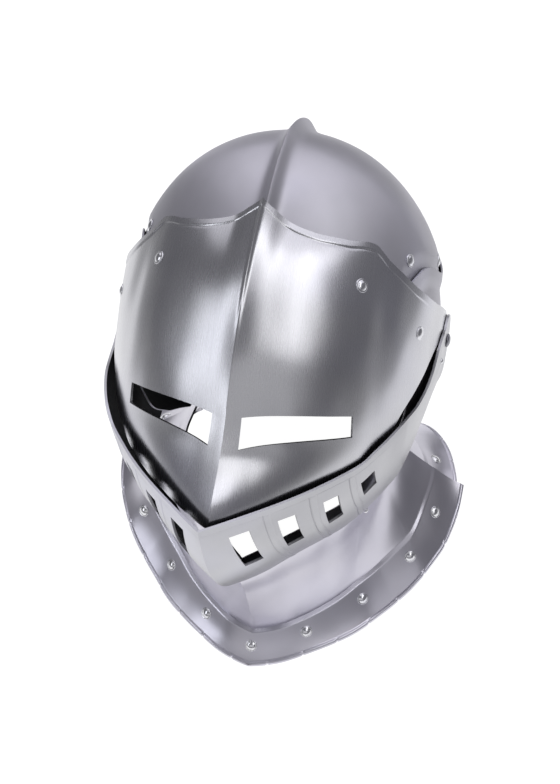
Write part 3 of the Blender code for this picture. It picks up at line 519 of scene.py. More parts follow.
# %% [markdown]
# ## The fan
#
# The visor and the bevor both turn on the side pivots, so both are drawn in angles from them, like a
# folding fan: phi away from the pivot axis and theta round it, with a distance rho from the middle of
# the axis. Two plates whose rho differ by a gap can then swing past each other without touching,
# which plain coordinates would not guarantee.

# %% Fan coordinates
def fan(phi, theta, rho):
    """X = rho cos phi, F = -12 + rho sin phi cos theta, Z = -7 + rho sin phi sin theta."""
    p, t = np.radians(phi), np.radians(theta)
    r = rho * np.sin(p)
    return np.stack([rho * np.cos(p), PIVOT_F + r * np.cos(t), PIVOT_Z + r * np.sin(t)], -1)


def radii(phi_knots, theta_knots, rows, phi, theta):
    """Distance read from a table: along phi for each theta station, then along theta."""
    along = smooth(phi_knots, np.transpose(rows), phi.ravel()).T
    return smooth(theta_knots, along, theta.ravel(), paired=True).reshape(phi.shape)


def into_ear(rho, phi, ear_x, most, knots, shares):
    """rho passing into the flat disc x = ear_x of the ear, by shares of the disc at the knots of phi."""
    ear = ear_x / np.cos(np.radians(phi))
    share = smooth(knots, shares, phi)
    return rho * (1 - share) + np.minimum(ear, most) * share


def shifted(points, shift):
    """X moved by -shift sin^2 phi: nothing at the pivots, all of it at the middle."""
    across2 = (points[..., 1] - PIVOT_F) ** 2 + (points[..., 2] - PIVOT_Z) ** 2
    moved = points.copy()
    moved[..., 0] -= shift * across2 / (across2 + points[..., 0] ** 2)
    return moved


def both_sides(half, shift=0.0):
    """The half grid (columns from the ear to the middle) and its mirror image, the middle shared."""
    other = half * np.array([-1.0, 1.0, 1.0])
    return np.concatenate([shifted(other, shift), shifted(half, shift)[:, -2::-1]], axis=1)


def row_angles(lower, upper, reach, low_mm, high_mm, count):
    """Rows between two edges: at fixed millimetres from each, and count even rows in between."""
    room = np.radians(upper - lower) * reach
    low = np.array((0.0, *low_mm))[:, None]
    high = np.array((0.0, *high_mm))[::-1, None]
    squeeze = np.minimum(1.0, 0.42 * room / max(low.max(), high.max(), 0.1))
    first, last = low * squeeze, room - high * squeeze
    inner = first[-1] + (last[0] - first[-1]) * np.linspace(0.0, 1.0, count + 2)[1:-1, None]
    return lower + np.degrees(np.concatenate([first, inner, last]) / reach)


print("fan: phi 90 is the middle, phi 9 the rim of an ear")

# %% [markdown]
# ## The visor
#
# One plate from ear to ear, with a keel down the middle that flares into a pointed prow under the eye
# slits. Its upper edge has two shallow scallops each side of the keel, with a raised border inside it.
# The distance table holds the prow: rho grows quickly from 175 mm at the slits to 208 mm at the point,
# so the crease is where the two mirrored halves meet and needs no extra modelling. The slits are cells
# left out of the grid, whose lines were laid along them, so their edges are clean; a Boolean would
# leave long thin triangles in a polished plate.

# %% Visor outline and distance
VISOR_PHI = (12.9, 26.3, 38.0, 48.8, 55.4, 60.8, 64.9, 69.5, 76.8, 83.7, 87.4, 90.0)
VISOR_THETA = (-10.0, 0.0, 10.0, 16.0, 30.0, 45.0, 62.0)
VISOR_RHO = (
    (108.9, 116.2, 126.2, 137.0, 144.0, 150.5, 155.0, 160.5, 171.0, 185.0, 195.0, 202.5),
    (108.9, 116.3, 127.0, 138.3, 146.3, 153.8, 158.9, 165.0, 177.0, 192.1, 201.8, 208.5),
    (108.9, 116.3, 127.0, 137.3, 145.0, 151.5, 156.0, 160.5, 167.0, 173.5, 178.5, 182.5),
    (108.9, 116.2, 126.2, 136.5, 143.5, 150.0, 154.0, 158.5, 164.0, 168.0, 171.0, 174.0),
    (108.9, 116.0, 125.2, 134.5, 140.0, 146.0, 150.0, 154.0, 158.5, 162.5, 165.0, 166.5),
    (108.9, 115.8, 125.0, 132.5, 136.5, 141.5, 145.0, 148.5, 153.0, 157.0, 160.0, 162.0),
    (108.9, 115.6, 125.0, 131.5, 135.0, 138.0, 140.5, 142.5, 144.8, 147.5, 154.0, 158.5),
)
SLIT_OUT, SLIT_IN = 63.0, 87.0
PIN_HOLE = 3.3
VISOR_EAR_X, VISOR_EAR_PHI = 106.1, 9.35


def visor_edges(phi):
    """theta of the lower edge, slit sill, slit head and brow at phi; near the ear the two slit lines
    become even shares of the arm, so that the grid never folds over itself."""
    w = np.clip((phi - SLIT_OUT) / (SLIT_IN - SLIT_OUT), -1.0, 1.15)
    low = smooth((9.35, 16.5, 21.0, 24.5, 28.0, 33.0, 37.0, 42.4, 46.8, 51.0, 56.5, 63.0, 69.0, 78.0,
                  84.0, 90.0),
                 (15.0, 36.0, 30.8, 26.0, 21.6, 16.8, 14.2, 10.4, 6.6, 1.5, -6.5, -8.0, -7.0, -4.0,
                  -2.0, -0.3), phi)
    top = smooth((9.35, 16.5, 24.5, 31.0, 37.5, 43.4, 48.2, 52.5, 56.4, 59.3, 61.5, 65.0, 68.5,
                  72.3, 76.5, 80.5, 84.0, 87.0, 90.0),
                 (110.0, 77.0, 64.2, 59.2, 56.9, 56.7, 57.6, 58.8, 60.0, 61.7, 62.6, 61.7, 60.3,
                  59.6, 59.1, 59.4, 60.3, 61.5, 63.0), phi)
    hold = smooth((9.35, 42.0, 60.0, 90.0), (0.0, 0.0, 1.0, 1.0), phi)
    arch = 4.6 * np.clip(w, 0.0, 1.0) * (1.0 - np.clip(w, 0.0, 1.0))
    sill = (9.2 + 1.4 * w + arch) * hold + (low + 0.23 * (top - low)) * (1 - hold)
    head = (14.9 + 1.7 * w + arch) * hold + (low + 0.31 * (top - low)) * (1 - hold)
    return low, sill, head, top


def visor_rho(phi, theta):
    """Table distance, passing into the flat disc of the ear, x = 106.1, close to the pivot."""
    rho = radii(VISOR_PHI, VISOR_THETA, VISOR_RHO, phi, theta)
    return into_ear(rho, phi, VISOR_EAR_X, 110.6, (9.35, 10.5, 18.0, 90.0), (1.0, 0.9, 0.0, 0.0))


print("visor keel, brow to prow (mm):", visor_rho(np.full(4, 90.0), np.array([62.0, 30, 10, 0])).round(1))

# %% [markdown]
# The ear is a round disc with a hole for the pin. The plate's own grid reaches in to the hole through
# the sector it covers, and a polar grid closes the rest of the circle. Both use the same rings, so
# they weld. The raised border is added to rho: a step of half a millimetre at five millimetres from
# the brow, with rows packed where it turns.

# %% Visor plate
BORDER = 5.0               # width of the raised border along the brow
BORDER_RISE = 0.55
KEEL_RIB = 0.9             # height of the narrow rib along the upper keel
LIP = 0.5                  # the lower edge is turned out by this much


def ear_phis(ear_x, ear_phi, count):
    """Angles whose rings on the flat ear lie evenly between the pin hole and the ear's rim."""
    rings = np.linspace(PIN_HOLE, ear_x * math.tan(math.radians(ear_phi)), count)
    return np.degrees(np.arctan(rings / ear_x))


def ear_grids(ear_x, phis, top, low, shift=0.0):
    """The disc's remaining sector, from theta = top round behind to low + 360, on both sides."""
    theta, phi = np.meshgrid(np.linspace(top, low + 360.0, 46), phis, indexing="ij")
    left = fan(phi, theta, ear_x / np.cos(np.radians(phi)))
    return [shifted(left, shift), shifted(left * np.array([-1.0, 1.0, 1.0]), shift)]


def stacked_rows(edges, reach, plans):
    """Rows through successive edges; each plan is (mm from the lower edge, mm from the upper, count)."""
    rows = [row_angles(a, b, reach, *plan)[:-1] for a, b, plan in zip(edges[:-1], edges[1:], plans)]
    return np.concatenate(rows + [edges[-1][None]])


def cells_kept(rows, phis, first, count, holes):
    """Mask of a two-sided grid's cells: False in count rows from first wherever phi is in a hole."""
    mid = 0.5 * (phis[:-1] + phis[1:])
    hole = np.any([(mid > a) & (mid < b) for a, b in holes], axis=0)
    keep = np.ones((rows - 1, 2 * len(mid)), bool)
    keep[first:first + count] = ~np.concatenate([hole, hole[::-1]])
    return keep


visor_ear = ear_phis(VISOR_EAR_X, VISOR_EAR_PHI, 9)
visor_phi = np.concatenate([visor_ear[:-1], finer((9.35, 16.5, 42.0, 60.3, 63.0, 87.0, 88.6, 90.0),
                                                  (9, 22, 18, 3, 32, 4, 9))])
low, sill, head, top = visor_edges(visor_phi)
reach = visor_rho(visor_phi, 0.5 * (sill + head)) * np.sin(np.radians(visor_phi))
brow_rows = (0.9, 1.8, 2.8, 3.8, 4.4, 4.8, 5.2, 5.6, 6.0, 6.6, 8.0)
plans = (((0.9, 1.8, 2.6), (0.9, 1.8), 14), ((), (), 3), ((0.9, 1.8), brow_rows, 40))
theta = stacked_rows((low, sill, head, top), reach, plans)
phi = visor_phi[None, :] + np.zeros_like(theta)
from_brow = np.radians(top - theta) * reach
border = BORDER_RISE * (1.0 - rise(from_brow, BORDER - 0.6, BORDER + 0.5)) * rise(visor_phi, 14.0, 22.0)
border -= 0.12 * bump(from_brow - BORDER - 0.7, 0.5) * rise(visor_phi, 14.0, 22.0)
from_keel = np.radians(90.0 - phi) * reach
keel = KEEL_RIB * bump(from_keel, 1.3) * rise(theta, 30.0, 48.0)
lip = LIP * (1.0 - rise(np.radians(theta - low) * reach, 0.4, 2.6)) * rise(visor_phi, 50.0, 60.0)
grid = both_sides(fan(phi, theta, visor_rho(phi, theta) + border + keel + lip))
below, slit = (len(row_angles(low, top, reach, *plan)) - 1 for plan in plans[:2])
keep = cells_kept(len(grid), visor_phi, below, slit, ((SLIT_OUT, SLIT_IN),))
ears = ear_grids(VISOR_EAR_X, visor_ear, 110.0, 15.0)
visor = sheet("visor_plate", [grid] + ears, [keep, None, None], CORE)
finish_plate(visor, SHEET, PLATE_EDGE, VISOR_STEEL)
hand_over(visor, "visor_body", "visor")

# %% [markdown]
# ## The bevor
#
# The bevor guards the chin and carries four breathing windows on each side, seen as slanting
# parallelograms. A fine line follows its upper edge, another its lower edge, and between the windows
# stand narrow ribs cut with a deep line on one side and a shallow one on the other. They are real
# grooves: the grid has extra columns and rows exactly there, and rho dips by a fraction of a
# millimetre. A bump texture would vanish at the silhouette and from the exported part.

# %% Bevor outline and distance
BEVOR_PHI = (9.2, 19.0, 29.0, 39.0, 46.0, 50.0, 55.0, 60.0, 65.0, 69.0, 74.0, 79.0, 84.0, 90.0)
BEVOR_THETA = (-90.0, -60.0, -38.0, 1.0)
BEVOR_RHO = (
    (109.6, 109.6, 113.3, 123.3, 129.5, 131.5, 135.0, 139.0, 143.0, 146.5, 150.5, 155.5, 161.0, 168.0),
    (109.6, 110.6, 114.9, 123.3, 130.0, 132.0, 137.0, 141.0, 145.0, 148.5, 152.5, 157.5, 164.0, 172.0),
    (109.6, 111.6, 116.8, 125.8, 133.5, 137.0, 141.5, 146.5, 151.5, 155.0, 160.0, 167.0, 176.0, 186.0),
    (110.6, 114.6, 121.2, 131.6, 140.4, 145.8, 152.6, 159.0, 165.6, 171.8, 180.2, 189.6, 200.5, 216.5),
)
WINDOWS = ((54.8, 58.7), (64.5, 68.1), (73.9, 77.3), (82.1, 85.3))
WINDOW_LEAN = 1.4          # degrees of phi from the sill of a window up to its head
BEVOR_EAR_X, BEVOR_EAR_PHI = 108.4, 9.2
BEVOR_SHIFT = 4.0          # the bevor's keel stands this far to the wearer's right


def bevor_edges(phi):
    """theta of the lower edge, window sill, window head and upper edge at phi."""
    low = smooth((9.2, 19.0, 29.0, 42.5, 46.7, 49.7, 55.2, 59.9, 64.9, 69.0, 74.0, 78.8, 84.1, 90.0),
                 (-100.0, -93.0, -91.0, -89.0, -73.0, -64.0, -57.0, -52.3, -48.3, -47.6, -44.2, -42.0,
                  -38.5, -37.5), phi)
    top = smooth((9.2, 15.5, 20.0, 23.0, 26.0, 29.0, 32.0, 37.0, 43.0, 47.7, 52.0, 55.0, 58.0, 62.0, 90.0),
                 (60.0, 42.0, 27.0, 14.5, 8.6, 5.6, 4.3, 3.7, 4.3, 3.9, 3.1, 2.2, 1.0, 0.8, 1.0), phi)
    sill = smooth((9.2, 30.0, 54.8, 58.7, 66.0, 75.0, 83.0, 90.0),
                  (-20.0, -20.0, -15.8, -16.8, -19.5, -19.7, -18.6, -17.5), phi)
    head = smooth((9.2, 30.0, 54.8, 58.7, 66.0, 75.0, 83.0, 90.0),
                  (20.0, -4.0, -6.0, -7.4, -6.0, -4.8, -3.6, -3.2), phi)
    return low, sill, head, top


def bevor_rho(phi, theta):
    """Table distance, passing into the flat disc of the ear, x = 108.4, close to the pivot."""
    rho = radii(BEVOR_PHI, BEVOR_THETA, BEVOR_RHO, phi, theta)
    return into_ear(rho, phi, BEVOR_EAR_X, 111.8, (9.2, 12.0, 16.0, 90.0), (1.0, 0.8, 0.0, 0.0))


gaps = [(a[1], b[0]) for a, b in zip(WINDOWS[:-1], WINDOWS[1:])]
DEEP_LINES = [b - 0.52 * (b - a) for a, b in gaps]
FINE_LINES = [b - 0.80 * (b - a) for a, b in gaps]
print("deep lines at phi", np.round(DEEP_LINES, 1), "fine lines at phi", np.round(FINE_LINES, 1))

# %% Bevor plate
LINE_HALF = 0.16           # half-width of an engraved line, degrees of phi
EDGE_LINE = 5.4            # millimetres from the upper edge to the line along it
FOOT_LINE = 6.6            # millimetres from the lower edge to the line along it


def with_lines(knots, counts, lines):
    """Columns between knots, with seven close columns at each engraved line."""
    near = [line + LINE_HALF * k for line in lines for k in (-2.2, -1.1, -0.5, 0.0, 0.5, 1.1, 2.2)]
    columns = np.sort(np.concatenate([finer(knots, counts), near]))
    return columns[np.concatenate([[True], np.diff(columns) > 0.03])]


bevor_ear = ear_phis(BEVOR_EAR_X, BEVOR_EAR_PHI, 9)
knots = (9.2, 15.5, 31.0, 54.8, 58.7, 64.5, 68.1, 73.9, 77.3, 82.1, 85.3, 88.6, 90.0)
bevor_phi = np.concatenate([bevor_ear[:-1], with_lines(knots, (8, 12, 22, 5, 7, 5, 7, 5, 6, 5, 4, 5),
                                                       DEEP_LINES + FINE_LINES)])
low, sill, head, top = bevor_edges(bevor_phi)
reach = bevor_rho(bevor_phi, 0.5 * (sill + head)) * np.sin(np.radians(bevor_phi))
foot_rows = (0.5, 1.6, 3.4, 5.2, 5.9, 6.3, 6.6, 6.9, 7.3, 8.0, 9.4)
head_rows = (0.5, 1.6, 3.4, 4.5, 5.0, 5.3, 5.6, 6.1, 7.0)
plans = ((foot_rows, (0.5, 1.4), 18), ((0.5,), (0.5,), 8), ((), head_rows, 2))
theta = stacked_rows((low, sill, head, top), reach, plans)
from_top = np.radians(top - theta) * reach
from_low = np.radians(theta - low) * reach
up = np.clip((theta - sill) / (head - sill), -0.6, 1.6)
lean = WINDOW_LEAN * (up - 0.5) * rise(bevor_phi, 45.0, 54.0) * (1.0 - rise(bevor_phi, 86.0, 89.5))
phi = bevor_phi[None, :] + lean
inside = rise(from_top, EDGE_LINE - 0.4, EDGE_LINE + 0.4) * rise(from_low, FOOT_LINE - 0.4, FOOT_LINE + 0.4)
front = rise(bevor_phi, 47.0, 53.0)
cut = 0.30 * (bump(from_top - EDGE_LINE, 0.45) * front + bump(from_low - FOOT_LINE, 0.5) * front)
for line, depth in [(x, 0.50) for x in DEEP_LINES] + [(x, 0.28) for x in FINE_LINES]:
    cut = np.maximum(cut, depth * bump(bevor_phi - line, LINE_HALF * 0.9) * inside)
for deep, fine in zip(DEEP_LINES, FINE_LINES):
    cut = cut - 0.25 * rise(bevor_phi, fine, fine + 0.3) * (1.0 - rise(bevor_phi, deep - 0.3, deep)) * inside
border = 0.25 * (1.0 - rise(from_top, EDGE_LINE - 0.3, EDGE_LINE + 0.3)) * front
grid = both_sides(fan(phi, theta, bevor_rho(phi, theta) - cut + border), BEVOR_SHIFT)
below, window = (len(row_angles(low, top, reach, *plan)) - 1 for plan in plans[:2])
keep = cells_kept(len(grid), bevor_phi, below, window, WINDOWS)
ears = ear_grids(BEVOR_EAR_X, bevor_ear, 60.0, -100.0, BEVOR_SHIFT)
bevor = sheet("bevor_plate", [grid] + ears, [keep, None, None], CORE)
finish_plate(bevor, SHEET, PLATE_EDGE, BEVOR_STEEL)
hand_over(bevor, "bevor_body", "bevor")

# %% [markdown]
# ## The gorget
#
# Two plates flare over the shoulders, one in front ending in a point and one behind. Each is a few
# rings, given as radius and height against the angle round the neck: collar, throat, the embossed step
# that follows the outline, and the rim. The surface is carried through those rings by the same
# monotone cubic, with rings packed at the step so that it stays crisp.

# %% Gorget rings
FRONT_TOP = ((-16.0, 0.0, 16.0, 28.6, 40.0, 50.0, 58.5, 67.0, 75.3, 83.6, 90.0),
             (71.0, 70.0, 72.0, 75.2, 78.7, 83.8, 88.0, 94.5, 102.4, 115.7, 127.0),
             (-98.0, -98.0, -98.0, -99.0, -100.0, -101.0, -101.0, -102.0, -103.0, -103.0, -104.0))
FRONT_NECK = ((-15.0, 0.0, 18.4, 30.3, 41.3, 50.3, 58.3, 66.7, 75.0, 83.4, 90.0),
              (76.7, 76.0, 79.0, 83.4, 87.9, 92.3, 95.2, 101.8, 108.7, 121.8, 131.5),
              (-105.0, -105.0, -106.0, -108.0, -110.0, -112.0, -114.0, -115.0, -117.0, -117.0, -118.0))
FRONT_STEP = ((-10.8, -5.4, 2.2, 14.2, 21.7, 30.3, 42.2, 55.2, 68.2, 80.5, 90.0),
              (106.9, 106.0, 104.0, 101.6, 94.7, 89.2, 86.4, 87.7, 91.5, 97.3, 99.5),
              (-131.0, -135.0, -140.0, -155.0, -167.0, -177.0, -185.0, -192.0, -197.0, -201.0, -205.0))
FRONT_RIM = ((-9.0, -3.0, 3.0, 8.9, 14.0, 20.0, 25.0, 31.0, 41.0, 54.0, 66.0, 79.0, 90.0),
             (132.5, 130.5, 128.0, 124.7, 121.5, 118.0, 114.5, 110.5, 107.0, 107.0, 109.0, 114.0, 117.0),
             (-146.0, -157.0, -165.0, -175.0, -180.5, -188.0, -195.0, -202.0, -210.0, -215.5, -218.5,
              -223.0, -227.0))
BACK_TOP = ((10.0, 22.0, 50.0, 90.0), (67.4, 68.8, 72.0, 72.4), (-92.0, -92.0, -92.0, -92.0))
BACK_COLLAR = ((10.0, 22.0, 50.0, 90.0), (67.5, 69.0, 72.2, 72.6), (-101.5, -101.6, -102.0, -102.5))
BACK_NECK = ((11.0, 45.0, 90.0), (73.4, 76.0, 76.0), (-108.2, -109.0, -110.0))
BACK_STEP = ((8.0, 25.0, 45.0, 70.0, 90.0), (103.2, 103.0, 103.6, 103.0, 102.0),
             (-135.6, -137.8, -142.0, -150.0, -154.0))
BACK_RIM = ((6.5, 18.0, 27.0, 37.0, 45.0, 55.0, 63.0, 70.0, 80.0, 90.0),
            (128.2, 128.5, 129.8, 131.5, 132.5, 132.0, 131.0, 130.0, 128.5, 128.0),
            (-156.0, -150.0, -149.8, -152.5, -157.5, -169.5, -180.5, -185.0, -184.3, -184.0))
STEP_OUT, STEP_UP = 2.8, -1.7          # the flange starts this far outside and below the step line


def ring(curve, share, out=0.0, up=0.0):
    """Half a ring as (angle, radius, height) at shares 0..1 of the way from its joint to the middle."""
    knots, radius, height = curve
    a = knots[0] + (knots[-1] - knots[0]) * share
    return np.stack([a, smooth(knots, radius, a) + out, smooth(knots, height, a) + up], -1)


def polar_points(rings, toward):
    """Angle, radius and height to X, F, Z; toward is 1 for the front plate and -1 for the back."""
    a = np.radians(rings[..., 0])
    return np.stack([rings[..., 1] * np.cos(a), toward * rings[..., 1] * np.sin(a), rings[..., 2]], -1)


print("front rim from %.0f mm at the point to %.0f mm at the joint" % (FRONT_RIM[1][-1], FRONT_RIM[1][0]))

# %% [markdown]
# The rim is turned under over a wire, so it ends in a thin roll, nicked across every three centimetres
# or so for decoration. A roll is an arc carried along the edge: at each column the arc lies in the
# plane of the sheet's own direction T and its outward normal N. Towards the side joints the roll opens
# until plain sheet is left, which lets the front plate lap over the back one. The nicks make the arc's
# radius smaller over a millimetre or two, so the columns are packed there.

# %% Rolled rim
ROLL_R = 2.3               # radius of the rolled rim
ROLL_PROUD = 0.7           # how far the roll stands above the sheet
NICK_STEP, NICK_DEEP, NICK_HALF = 27.0, 0.30, 0.8
ROLL_FROM, ROLL_FULL = 22.0, 34.0      # millimetres from the joint where the roll starts and is whole


def rim_shares(curve, first_nick):
    """Column shares 3 mm apart along the rim and closer at each nick, with the nick distances."""
    fine = np.linspace(0.0, 1.0, 1200)
    path = polar_points(ring(curve, fine), 1.0)
    run = np.concatenate([[0.0], np.linalg.norm(np.diff(path, axis=0), axis=1).cumsum()])
    nicks = np.arange(run[-1] - first_nick, 28.0, -NICK_STEP)
    near = (nicks[:, None] + np.linspace(-2.4, 2.4, 11)).ravel()
    stops = np.sort(np.concatenate([np.linspace(0.0, run[-1], int(run[-1] / 3.0)), near]))
    stops = stops[(stops <= run[-1]) & np.concatenate([[True], np.diff(stops) > 0.15])]
    stops[-1] = run[-1]
    return np.interp(stops, run, fine), stops, nicks


def unit(v):
    return v / np.maximum(np.linalg.norm(v, axis=-1, keepdims=True), 1e-9)


def rolled(flange, rim, stops, nicks):
    """C + R (N cos a + T sin a), a from where the sheet meets the roll to 250 degrees round it."""
    t = unit(rim - flange)
    n = np.cross(t, np.gradient(rim, axis=0))
    n = unit(n * np.sign((n * (rim - np.array(NECK_CORE))).sum(-1, keepdims=True)))
    centre = rim - t * ROLL_R - n * (ROLL_R - ROLL_PROUD)
    nick = 1.0 - NICK_DEEP * bump(stops[:, None] - nicks, NICK_HALF).sum(1)
    whole = rise(stops, ROLL_FROM, ROLL_FULL)
    start = -math.acos(1.0 - 1.2 * ROLL_PROUD / ROLL_R)
    end = np.radians(35.0 + 215.0 * whole)
    a = start + (end - start) * np.linspace(0.0, 1.0, 19)[:, None]
    deep = 1.0 - (1.0 - nick) * np.clip(np.sin((a - start) * 0.8), 0.0, 1.0)
    arc = n * np.cos(a)[..., None] + t * np.sin(a)[..., None]
    return centre + ROLL_R * deep[..., None] * arc


print("roll %.1f mm across, nicked every %.0f mm" % (2 * ROLL_R, NICK_STEP))

# %% Gorget plates
def gorget_grid(collar, neck, step, rim, sag, toward, first_nick):
    """Rings collar - throat - step - flange carried by the cubic, then the rolled rim; both halves."""
    share, stops, nicks = rim_shares(rim, first_nick)
    throat, line, edge = ring(neck, share), ring(step, share), ring(rim, share)
    foot = line + np.array([0.0, STEP_OUT, STEP_UP])
    sagging = np.array([0.0, -sag, 0.0])
    rings = [ring(c, share) for c in collar]
    rings += [throat, throat + (line - throat) * 0.33 + sagging, throat + (line - throat) * 0.67 + sagging]
    rings += [throat + (line - throat) * 0.965 + 0.1 * sagging, line]
    body = polar_points(smooth(np.arange(len(rings)), np.stack(rings), finer(
        np.arange(len(rings)), [5] * len(collar) + [9, 9, 8, 3])), toward)
    riser = polar_points(line + (foot - line) * np.array([0.25, 0.5, 0.75, 1.0])[:, None, None], toward)
    rim_line = polar_points(edge, toward)
    roll = rolled(riser[-1], rim_line, stops, nicks)
    t = np.concatenate([[0.03, 0.08], np.linspace(0.15, 0.97, 12)])[:, None, None]
    flange = riser[-1] + (roll[0] - riser[-1]) * t
    flange[..., 2] -= 1.2 * (np.sin(np.pi * t))[..., 0]
    half = np.concatenate([body, riser, flange, roll])
    return np.concatenate([half * np.array([-1.0, 1.0, 1.0]), half[:, -2::-1]], axis=1)


FILED_FLAT = 0.15          # millimetres above the ground where the lowest rim is filed flat


def stood(piece):
    """The lowest part of the rim is filed flat, so that nothing is lower than the ground."""
    count = len(piece.data.vertices)
    co = np.empty(count * 3, np.float32)
    piece.data.vertices.foreach_get("co", co)
    co = co.reshape(-1, 3)
    print(piece.name, "was lowest at %.2f mm" % (co[:, 2].min() / MM))
    co[:, 2] = np.maximum(co[:, 2], FILED_FLAT * MM)
    piece.data.vertices.foreach_set("co", co.ravel())
    piece.data.update()


def gorget_plate(node_name, body, *shape):
    """Sheet, flat foot, thickness and hand-over of one gorget plate."""
    plate = sheet(node_name + "_plate", [gorget_grid(*shape)], [None], NECK_CORE)
    stood(plate)
    finish_plate(plate, SHEET, PLATE_EDGE, GORGET_STEEL)
    hand_over(plate, body, node_name)
    return plate


gorget_front = gorget_plate("gorget_front", "bevor_body", (FRONT_TOP,), FRONT_NECK, FRONT_STEP,
                            FRONT_RIM, 2.0, 1.0, 14.0)
gorget_back = gorget_plate("gorget_back", "skull", (BACK_TOP, BACK_COLLAR), BACK_NECK, BACK_STEP,
                           BACK_RIM, 1.0, -1.0, 0.0)

# %% [markdown]
# ## Rivets, studs and pivot pins
#
# Every head is a turned shape: a profile of radius against height, swept round its axis. The model in
# model.glb gives each one's place; the axis is the normal of the plate under it. The rivets have a low
# dome standing in a shallow ring, where the hammer bedded the washer into the plate.

# %% Turned heads
def vertex_arrays(piece):
    """Places and normals of a piece's vertices as two arrays."""
    count = len(piece.data.vertices)
    place, normal = np.empty(count * 3, np.float32), np.empty(count * 3, np.float32)
    piece.data.vertices.foreach_get("co", place)
    piece.data.vertex_normals.foreach_get("vector", normal)
    return place.reshape(-1, 3).astype(float), normal.reshape(-1, 3).astype(float)


def turned_head(name, foot, axis, profile, sides=40):
    """foot + axis h + r (e1 cos a + e2 sin a) for each radius r and height h of the profile."""
    r, h = np.array(profile, float).T * MM
    axis = unit(np.asarray(axis, float))
    e1 = unit(np.cross(axis, (0.0, 0.0, 1.0) if abs(axis[2]) < 0.9 else (0.0, 1.0, 0.0)))
    e2 = np.cross(axis, e1)
    a = np.linspace(0.0, 2.0 * math.pi, sides + 1)
    circle = np.cos(a)[:, None] * e1 + np.sin(a)[:, None] * e2
    points = foot + h[:, None, None] * axis + r[:, None, None] * circle
    flat, faces, first = welded(points.reshape(-1, 3) / MM, grid_faces(len(r), sides + 1))
    turn = np.stack(np.broadcast_arrays(a[None, :] * 0.004, r[:, None]), -1).reshape(-1, 2)[first]
    return grained(name, flat * MM, faces, turn)


RIVET = ((0.0, 1.55), (0.9, 1.50), (1.7, 1.34), (2.4, 1.06), (2.9, 0.74), (3.2, 0.50), (3.4, 0.42),
         (3.6, 0.42), (3.85, 0.50), (4.1, 0.46), (4.28, 0.30), (4.35, 0.05), (4.35, -0.4), (0.0, -0.4))
STUD = ((0.0, 1.5), (0.7, 1.42), (1.3, 1.15), (1.8, 0.7), (2.1, 0.2), (2.1, -0.4), (0.0, -0.4))
node_names = sorted(frame["nodes"])
rivets = [n for n in node_names if "rivet" in n]
studs = [n for n in node_names if "stud" in n]
print(len(rivets), "rivets and", len(studs), "studs")

# %% Set the rivets and studs
UNDER = {"visor_rivet": visor, "skull_rivet": bowl, "gorget_rivet": gorget_front,
         "back_rivet": gorget_back, "throat_stud": gorget_front, "bevor_arm_stud": bevor}
BODY = {"visor_rivet": "visor_body", "skull_rivet": "skull", "gorget_rivet": "bevor_body",
        "back_rivet": "skull", "throat_stud": "bevor_body", "bevor_arm_stud": "bevor_body"}
skins = {key: vertex_arrays(plate) for key, plate in UNDER.items()}
for node in rivets + studs:
    kind = next(k for k in UNDER if node.startswith(k))
    lowest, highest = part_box(node)
    middle = np.array((lowest + highest) / 2.0)
    place, normal = skins[kind]
    nearest = np.linalg.norm(place - middle, axis=1).argmin()
    axis = normal[nearest]
    foot = middle - axis * np.dot(middle - place[nearest], axis)
    is_stud = node in studs
    head = turned_head(node + "_head", foot, axis, STUD if is_stud else RIVET)
    head.data.materials.append(RIVET_STEEL)
    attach(head, BODY[kind])
    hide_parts(node)
print("set", len(rivets) + len(studs), "heads")

# %% [markdown]
# Each pivot is one turned pin, a shank through both arms with a low domed head outside. It belongs to
# the skull, so it stays still while the visor and the bevor swing.

# %% Pivot pins
PIN_R, HEAD_R = 2.7, 4.6
for side, node in ((1.0, "pivot_pin_left"), (-1.0, "pivot_pin_right")):
    lowest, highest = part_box(node)
    inner = min(abs(lowest.x), abs(highest.x)) / MM
    outer = max(abs(lowest.x), abs(highest.x)) / MM
    under = outer - 2.2
    dome = ((0.0, 0.0), (1.2, 0.05), (2.4, 0.25), (3.4, 0.65), (4.1, 1.1), (4.5, 1.5), (HEAD_R, 1.75))
    profile = [(r, outer - down) for r, down in dome]
    profile += [(HEAD_R, under), (PIN_R, under), (PIN_R, inner), (0.0, inner)]
    centre = np.array([0.0, PIVOT[1], PIVOT[2]])
    pin = turned_head(node + "_turned", centre, (side, 0.0, 0.0), profile, 48)
    pin.data.materials.append(PIN_STEEL)
    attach(pin, "skull")
    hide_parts(node)
    print(node, "from %.1f to %.1f mm" % (inner, outer))

# %% [markdown]
# ## Floor, light and camera
#
# Bright steel has almost no colour of its own: what shows is the room. The plates are read by long soft
# bands, so the room is plain and fairly dark, with a slanting soft box on each side and weak fills in
# front, behind and above. The floor is a pale board lit from within, like a product table, so that it
# stays white seen through the windows too; it dims beyond the table's edge, or the steel would mirror
# nothing but white.

